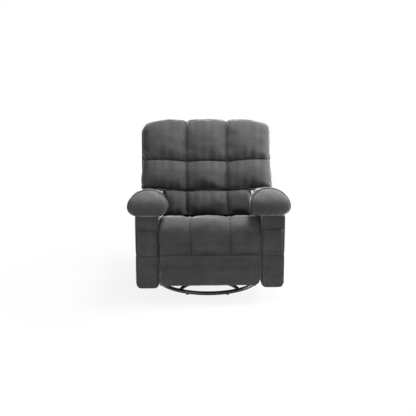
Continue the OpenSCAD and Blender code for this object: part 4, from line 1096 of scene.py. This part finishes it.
def make_arm_body(sizes, side, name):
    """An arm's cover: upright panels, a belt seam, and round lower corners with a welt."""
    low = np.array(ARM_LOW)
    high = np.array([ARM_HIGH.x, ARM_HIGH.y, PILLOW_FOOT - 0.0003])
    hole_y = (CUP_LOW.y + CUP_RIM, CUP_HIGH.y - CUP_RIM)
    hole_z = (CUP_LOW.z + CUP_RIM, CUP_HIGH.z - CUP_RIM)
    bm = unit_block((16, 48, 56))
    cover = piece_from(bm, name + "_arm_body", chenille("arm_chenille", ALONG_X))
    share = points_of(cover.data)
    at_front = share[:, 1] < 1e-4
    outer = share[:, 0] > 1 - 1e-4
    # The mesh has lines at the edges, at the rim of the cup and on both sides of the belt seam
    x = lerp(low[0], high[0], gathered([0, 0.5, 1], share[:, 0]))
    y = np.interp(share[:, 1] * 48, (0, 1, 2, 3, 18, 26, 46, 47, 48), (
        low[1], low[1] + 0.004, low[1] + 0.010, low[1] + 0.024, *hole_y,
        high[1] - 0.009, high[1] - 0.003, high[1]))
    z = np.interp(share[:, 2] * 56, (0, 8, 19, 20, 21, 36, 44, 56), (
        low[2], low[2] + ARM_CORNER_R, sizes.belt - BELT_EDGE, sizes.belt,
        sizes.belt + BELT_EDGE, *hole_z, high[2]))
    behind_front = y - low[1]
    # The lower corners are round
    wide = high[0] - low[0]
    middle_x = (low[0] + high[0]) / 2
    dx = np.clip(np.abs(x - middle_x) - wide / 2 + ARM_CORNER_R, 0, ARM_CORNER_R)
    dz = np.clip(low[2] + ARM_CORNER_R - z, 0, ARM_CORNER_R)
    past = (dx > 0) & (dz > 0)
    fit = np.maximum(dx, dz) / np.maximum(np.hypot(dx, dz), 1e-9)
    x = np.where(past, x - np.sign(x - middle_x) * dx * (1 - fit), x)
    z = np.where(past, z + dz * (1 - fit), z)
    # Its panels swell between their seams
    row = cell_share([low[2], sizes.belt, high[2]], z)
    across = crown((x - low[0]) / wide, 4)
    along = crown((y - low[1]) / (high[1] - low[1]), 6)
    edge = np.clip(np.minimum(x - low[0], high[0] - x) / ARM_FRONT_R, 0, 1)
    y = (y - ARM_FRONT_PUFF * across * crown(row, 6) * at_front
         + at_front * (1 - edge) ** 2 * ARM_FRONT_R * 0.7)
    side_puff = ARM_SIDE_PUFF * along * crown(row, 6)
    if side == RIGHT:
        # Flat round the release cup, and drawn into it
        off_y = np.clip(np.maximum(hole_y[0] - y, y - hole_y[1]), 0, None)
        off_z = np.clip(np.maximum(hole_z[0] - z, z - hole_z[1]), 0, None)
        side_puff = side_puff * smooth((np.hypot(off_y, off_z) - CUP_FLAT) / 0.05)
        in_y = (y > hole_y[0] + 1e-4) & (y < hole_y[1] - 1e-4)
        in_z = (z > hole_z[0] + 1e-4) & (z < hole_z[1] - 1e-4)
        side_puff = np.where(outer & in_y & in_z, -(CUP_HIGH.x - CUP_LOW.x), side_puff)
    x = x + outer * side_puff
    fall = ((high[2] - ARM_HIGH.z) * smooth((y - TOP_FALL_Y) / TOP_FALL_RUN)
            + REAR_FALL * smooth((y - REAR_FALL_Y) / REAR_FALL_RUN))
    z = z - fall * np.clip((z - TOP_BENDS_FROM_Z) / (high[2] - TOP_BENDS_FROM_Z), 0, 1)
    set_in = EDGE_IN * (1 - smooth(behind_front / EDGE_DEPTH))
    x = x - np.sign(x - middle_x) * set_in * (np.abs(x - middle_x) / wide * 2) ** 4
    place_on_side(cover, np.stack([x, y, z], -1), side)
    shown = (at_front | outer) & (z > low[2] + 0.01)
    keep(cover.data, "seam", notch(z - sizes.belt, ARM_SEAM_DEPTH) * shown)
    press_seams(cover, ARM_SEAM_DEPTH)
    finer(cover)
    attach(cover, "seat")
    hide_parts(name + "_arm_cover")
    line = arm_welt_line(low + (EDGE_IN, 0, EDGE_IN), high - (EDGE_IN, 0, 0))
    welt = make_welt(name + "_arm_welt", on_side(line, side), sizes.welt * ARM_WELT_SHARE,
                     closed=False)
    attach(welt, "seat")


POCKET_CLOTH = 0.0028
POCKET_SET_IN = 0.0045
POCKET_PUFF = 0.0050
POCKET_RUFFLE = 0.0075
POCKET_HANG = 0.0026
POCKET_HEM_ROLL = 0.0026
POCKET_SEATED = 0.004
POCKET_LIFT = 0.008
POCKET_SAG = 0.004
POCKET_PEAKS = 0.0022
# Shares of its height at which the cloth hangs, the elastic draws it in and the hem lies
HANG_V, RUFFLE_V, HEM_V, HEM_ROLL_V = 0.80, 0.93, 0.91, 0.965
PANEL_WAVE = 0.0012
HEM_DEPTH = 0.0012


def make_pocket(side, name):
    """A gathered pocket on the arm's front: a slack panel drawn in by elastic at its mouth."""
    low, high = np.array(POCKET_LOW), np.array(POCKET_HIGH)
    bm = unit_block((64, 2, 36))
    pocket = piece_from(bm, name + "_pocket", chenille("pocket_chenille", ALONG_X))
    share = points_of(pocket.data)
    t = share[:, 0]
    v = share[:, 2]
    wave = np.sin(t * 37 + 1.1 * np.sin(t * 13))
    pleat = 0.5 + 0.5 * wave
    fade = smooth((t - 0.30) / 0.3)
    puff = POCKET_PUFF * crown(t, 3) * crown(v * 0.75 + 0.06, 3)
    ruffle = POCKET_RUFFLE * pleat * notch(v - RUFFLE_V, 0.08) * lerp(0.15, 1, fade)
    hang = POCKET_HANG * wave * notch(v - HANG_V, 0.2) * fade
    hem_roll = POCKET_HEM_ROLL * notch(v - HEM_ROLL_V, 0.03)
    front = low[1] + POCKET_SET_IN - puff + hang - ruffle - hem_roll
    seated = (1 - crown(t, 14)) * POCKET_SEATED + notch(v, 0.02) * POCKET_SEATED
    front = np.minimum(front + seated, low[1] + 2 * POCKET_SET_IN - POCKET_CLOTH)
    x = lerp(low[0], high[0], t)
    y = front + share[:, 1] * POCKET_CLOTH
    sag = POCKET_SAG * smooth((v - 0.72) / 0.28) * crown(t, 2) * (1 - fade * 0.5)
    peaks = POCKET_PEAKS * pleat * smooth((v - 0.9) / 0.1) * fade
    z = lerp(low[2], high[2], v) + POCKET_LIFT * v - sag + peaks
    place_on_side(pocket, np.stack([x, y, z], -1), side)
    keep(pocket.data, "seam", notch(v - HEM_V, 0.012) * (share[:, 1] < 0.01) * 0.6)
    press_seams(pocket, HEM_DEPTH)
    finer(pocket)
    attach(pocket, "seat")
    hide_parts(name + "_front_pocket")


def make_rear_panel():
    """The panel between the arms behind the seat, hemmed at its lower edge."""
    low, high = np.array(SKIRT_LOW), np.array(SKIRT_HIGH)
    bm = unit_block((60, 2, 16))
    skirt = piece_from(bm, "rear_panel", chenille("skirt_chenille", ALONG_X))
    share = points_of(skirt.data)
    points = rounded(lerp(low, high, share), low, high, (0.003, 0.0028, 0.003))
    points[:, 1] += PANEL_WAVE * np.sin(share[:, 0] * 31) * (1 - share[:, 2])
    move_points(skirt.data, points)
    keep(skirt.data, "seam", notch(share[:, 2] - 0.1, 0.03) * (share[:, 1] > 0.9) * 0.7)
    press_seams(skirt, HEM_DEPTH)
    finer(skirt)
    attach(skirt, "seat")
    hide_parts("rear_skirt")


NODE_FINISHES = {
    powder_coat: ("ring_tube", "front_arch_tube", "rear_arch_tube"),
    frame_paint: ("swivel_lower_plate", "swivel_upper_plate", "front_cross_bar", "rear_cross_bar",
                  "left_rocker_rail", "right_rocker_rail", "left_mechanism_plate",
                  "right_mechanism_plate", "footrest_brackets", "torque_tube", "lift_arms",
                  "coupler_links", "back_brackets", "release_latch"),
    zinc: ("swivel_bolts", "swivel_pivot", "bearing_balls", "cross_bar_bolts", "arm_bolts",
           "release_pin", "back_pivot_pins"),
    brass: ("ball_cage",),
    spring_steel: ("left_rocker_springs", "right_rocker_springs", "seat_springs", "back_springs"),
    cable_sheath: ("release_cable",),
}
WOOD_ALONG = {
    ALONG_X: ("front_cross_rail", "middle_cross_rail", "rear_cross_rail", "back_lower_rail",
              "back_top_rail", "footrest_board"),
    ALONG_Y: ("left_frame_rail", "right_frame_rail", "left_rocker_cam", "right_rocker_cam",
              "left_arm_frame", "right_arm_frame"),
    ALONG_Z: ("back_posts", "wing_frames"),
}
PLASTIC_TONES = {"floor_glides": 0.02, "release_cup": 0.012, "release_paddle": 0.017}


def dress_node(name, material):
    """Gives a CAD node its finish."""
    node = frame["nodes"][name]
    node.data.materials.clear()
    node.data.materials.append(material)
    node.data.polygons.foreach_set("material_index", [0] * len(node.data.polygons))


def dress_frame():
    """Gives each CAD node that stays in sight its finish."""
    for build, names in NODE_FINISHES.items():
        for name in names:
            dress_node(name, build())
    for grain, names in WOOD_ALONG.items():
        axis = "xyz"[grain.index(min(grain))]
        for name in names:
            dress_node(name, sawn_wood("sawn_wood_" + axis, grain))
    for name, tone in PLASTIC_TONES.items():
        dress_node(name, moulded_plastic(name + "_plastic", tone))


# Each lamp's place, the point that it lights, its size and its power in watts
LAMPS = {
    "overhead": ((0.5, -0.15, 2.7), (0.05, -0.25, 0.6), (1.0, 0.8), 102),
    "rim": ((2.5, 0.1, 1.15), (0.3, 0.1, 0.7), (0.5, 1.2), 155),
    "fill": ((-2.6, -3.0, 0.9), (0, 0, 0.3), (2.2, 1.4), 54),
    "behind": ((-1.4, 3.4, 1.5), (0, 0, 0.5), (2.0, 1.6), 34),
}


FLOOR_HALF = 14
FLOOR_GAP = 0.0005
WORLD_AS_LIGHT = 0.23
WORLD_AS_SEEN = 1.0


def make_lamp(name, place, aim, size, energy):
    lamp = bpy.data.lights.new(name, "AREA")
    lamp.shape = "RECTANGLE"
    lamp.size, lamp.size_y = size
    lamp.energy = energy
    holder = placed(name, lamp)
    holder.location = place
    holder.rotation_euler = (Vector(aim) - Vector(place)).to_track_quat("-Z", "Y").to_euler()


def make_floor():
    bm = bmesh.new()
    bmesh.ops.create_grid(bm, x_segments=1, y_segments=1, size=FLOOR_HALF)
    bmesh.ops.translate(bm, vec=(0, 0, -FLOOR_GAP), verts=bm.verts)
    floor = piece_from(bm, "floor", backdrop(), soft=False)


def make_world():
    """White to the camera, in reflections and through glass, and a softer white as light."""
    world = bpy.data.worlds.new("studio")
    world.use_nodes = True
    bpy.context.scene.world = world
    tree = world.node_tree
    tree.nodes.clear()
    path = tree.nodes.new("ShaderNodeLightPath")
    seen = path
    for ray in ("Is Glossy Ray", "Is Transmission Ray"):
        either = tree.nodes.new("ShaderNodeMath")
        either.operation = "MAXIMUM"
        tree.links.new(seen.outputs[0], either.inputs[0])
        tree.links.new(path.outputs[ray], either.inputs[1])
        seen = either
    strength = tree.nodes.new("ShaderNodeMapRange")
    strength.inputs["To Min"].default_value = WORLD_AS_LIGHT
    strength.inputs["To Max"].default_value = WORLD_AS_SEEN
    tree.links.new(seen.outputs[0], strength.inputs["Value"])
    light = tree.nodes.new("ShaderNodeBackground")
    light.inputs["Color"].default_value = (1, 1, 1, 1)
    tree.links.new(strength.outputs[0], light.inputs["Strength"])
    out = tree.nodes.new("ShaderNodeOutputWorld")
    tree.links.new(light.outputs[0], out.inputs["Surface"])


def make_camera(studio):
    camera = bpy.data.cameras.new("camera")
    camera.lens = studio.lens
    camera.sensor_width = 36
    holder = placed("camera", camera)
    out, turn = studio.distance, studio.azimuth
    holder.location = (out * math.sin(turn), -out * math.cos(turn), studio.height)
    holder.rotation_euler = (math.pi / 2 - studio.pitch, 0, turn)
    bpy.context.scene.camera = holder


class RECLINER_OT_stage(bpy.types.Operator):
    """Sets up the floor, the lamps, the world and the camera"""
    bl_idname = "recliner.stage"
    bl_label = "Studio"

    def execute(self, context):
        make_floor()
        make_world()
        make_camera(context.scene.recliner_studio)
        for name, values in LAMPS.items():
            make_lamp(name, *values)
        context.scene.view_settings.view_transform = "Standard"
        return {"FINISHED"}


class RECLINER_OT_seat(bpy.types.Operator):
    """Makes the channelled seat and footrest pad and the foam under it"""
    bl_idname = "recliner.seat"
    bl_label = "Seat and footrest pad"

    def execute(self, context):
        make_chaise(context.scene.recliner_sizes)
        make_seat_core()
        make_rest_core()
        return {"FINISHED"}


class RECLINER_OT_back(bpy.types.Operator):
    """Makes the tufted back cushion and the outside back"""
    bl_idname = "recliner.back"
    bl_label = "Back"

    def execute(self, context):
        make_back_cushion(context.scene.recliner_sizes)
        make_outside_back(context.scene.recliner_sizes)
        return {"FINISHED"}


class RECLINER_OT_pillows(bpy.types.Operator):
    """Makes the two arm pillows with their welts"""
    bl_idname = "recliner.pillows"
    bl_label = "Arm pillows"

    def execute(self, context):
        for side, name in ((LEFT, "left"), (RIGHT, "right")):
            make_pillow(context.scene.recliner_sizes, side, name)
        return {"FINISHED"}


class RECLINER_OT_arms(bpy.types.Operator):
    """Makes the arm bodies, their front pockets and the rear panel"""
    bl_idname = "recliner.arms"
    bl_label = "Arm bodies and pockets"

    def execute(self, context):
        sizes = context.scene.recliner_sizes
        for side, name in ((LEFT, "left"), (RIGHT, "right")):
            make_arm_body(sizes, side, name)
            make_pocket(side, name)
        make_rear_panel()
        return {"FINISHED"}


class RECLINER_OT_frame(bpy.types.Operator):
    """Gives the base, the wooden frame and the mechanism their finishes"""
    bl_idname = "recliner.frame"
    bl_label = "Base, frame and mechanism"

    def execute(self, context):
        dress_frame()
        return {"FINISHED"}


OPERATORS = (RECLINER_OT_stage, RECLINER_OT_seat, RECLINER_OT_back, RECLINER_OT_pillows,
             RECLINER_OT_arms, RECLINER_OT_frame)


class RECLINER_PT_panel(bpy.types.Panel):
    bl_label = "Recliner"
    bl_idname = "RECLINER_PT_panel"
    bl_space_type = "VIEW_3D"
    bl_region_type = "UI"
    bl_category = "Recliner"

    def draw(self, context):
        for operator in OPERATORS:
            self.layout.operator(operator.bl_idname)
        for group in (context.scene.recliner_sizes, context.scene.recliner_colours,
                      context.scene.recliner_studio):
            for name in group.__annotations__:
                self.layout.prop(group, name)


SETTINGS = {
    "recliner_sizes": UpholsterySizes,
    "recliner_colours": FinishColours,
    "recliner_studio": StudioSizes,
}


def register():
    for group in (*SETTINGS.values(), *OPERATORS, RECLINER_PT_panel):
        bpy.utils.register_class(group)
    for name, group in SETTINGS.items():
        setattr(bpy.types.Scene, name, PointerProperty(type=group))


def unregister():
    for name in SETTINGS:
        delattr(bpy.types.Scene, name)
    for group in reversed((*SETTINGS.values(), *OPERATORS, RECLINER_PT_panel)):
        bpy.utils.unregister_class(group)


def main():
    register()
    for operator in OPERATORS:
        group, action = operator.bl_idname.split(".")
        getattr(getattr(bpy.ops, group), action)()


if __name__ == "__main__":
    main()
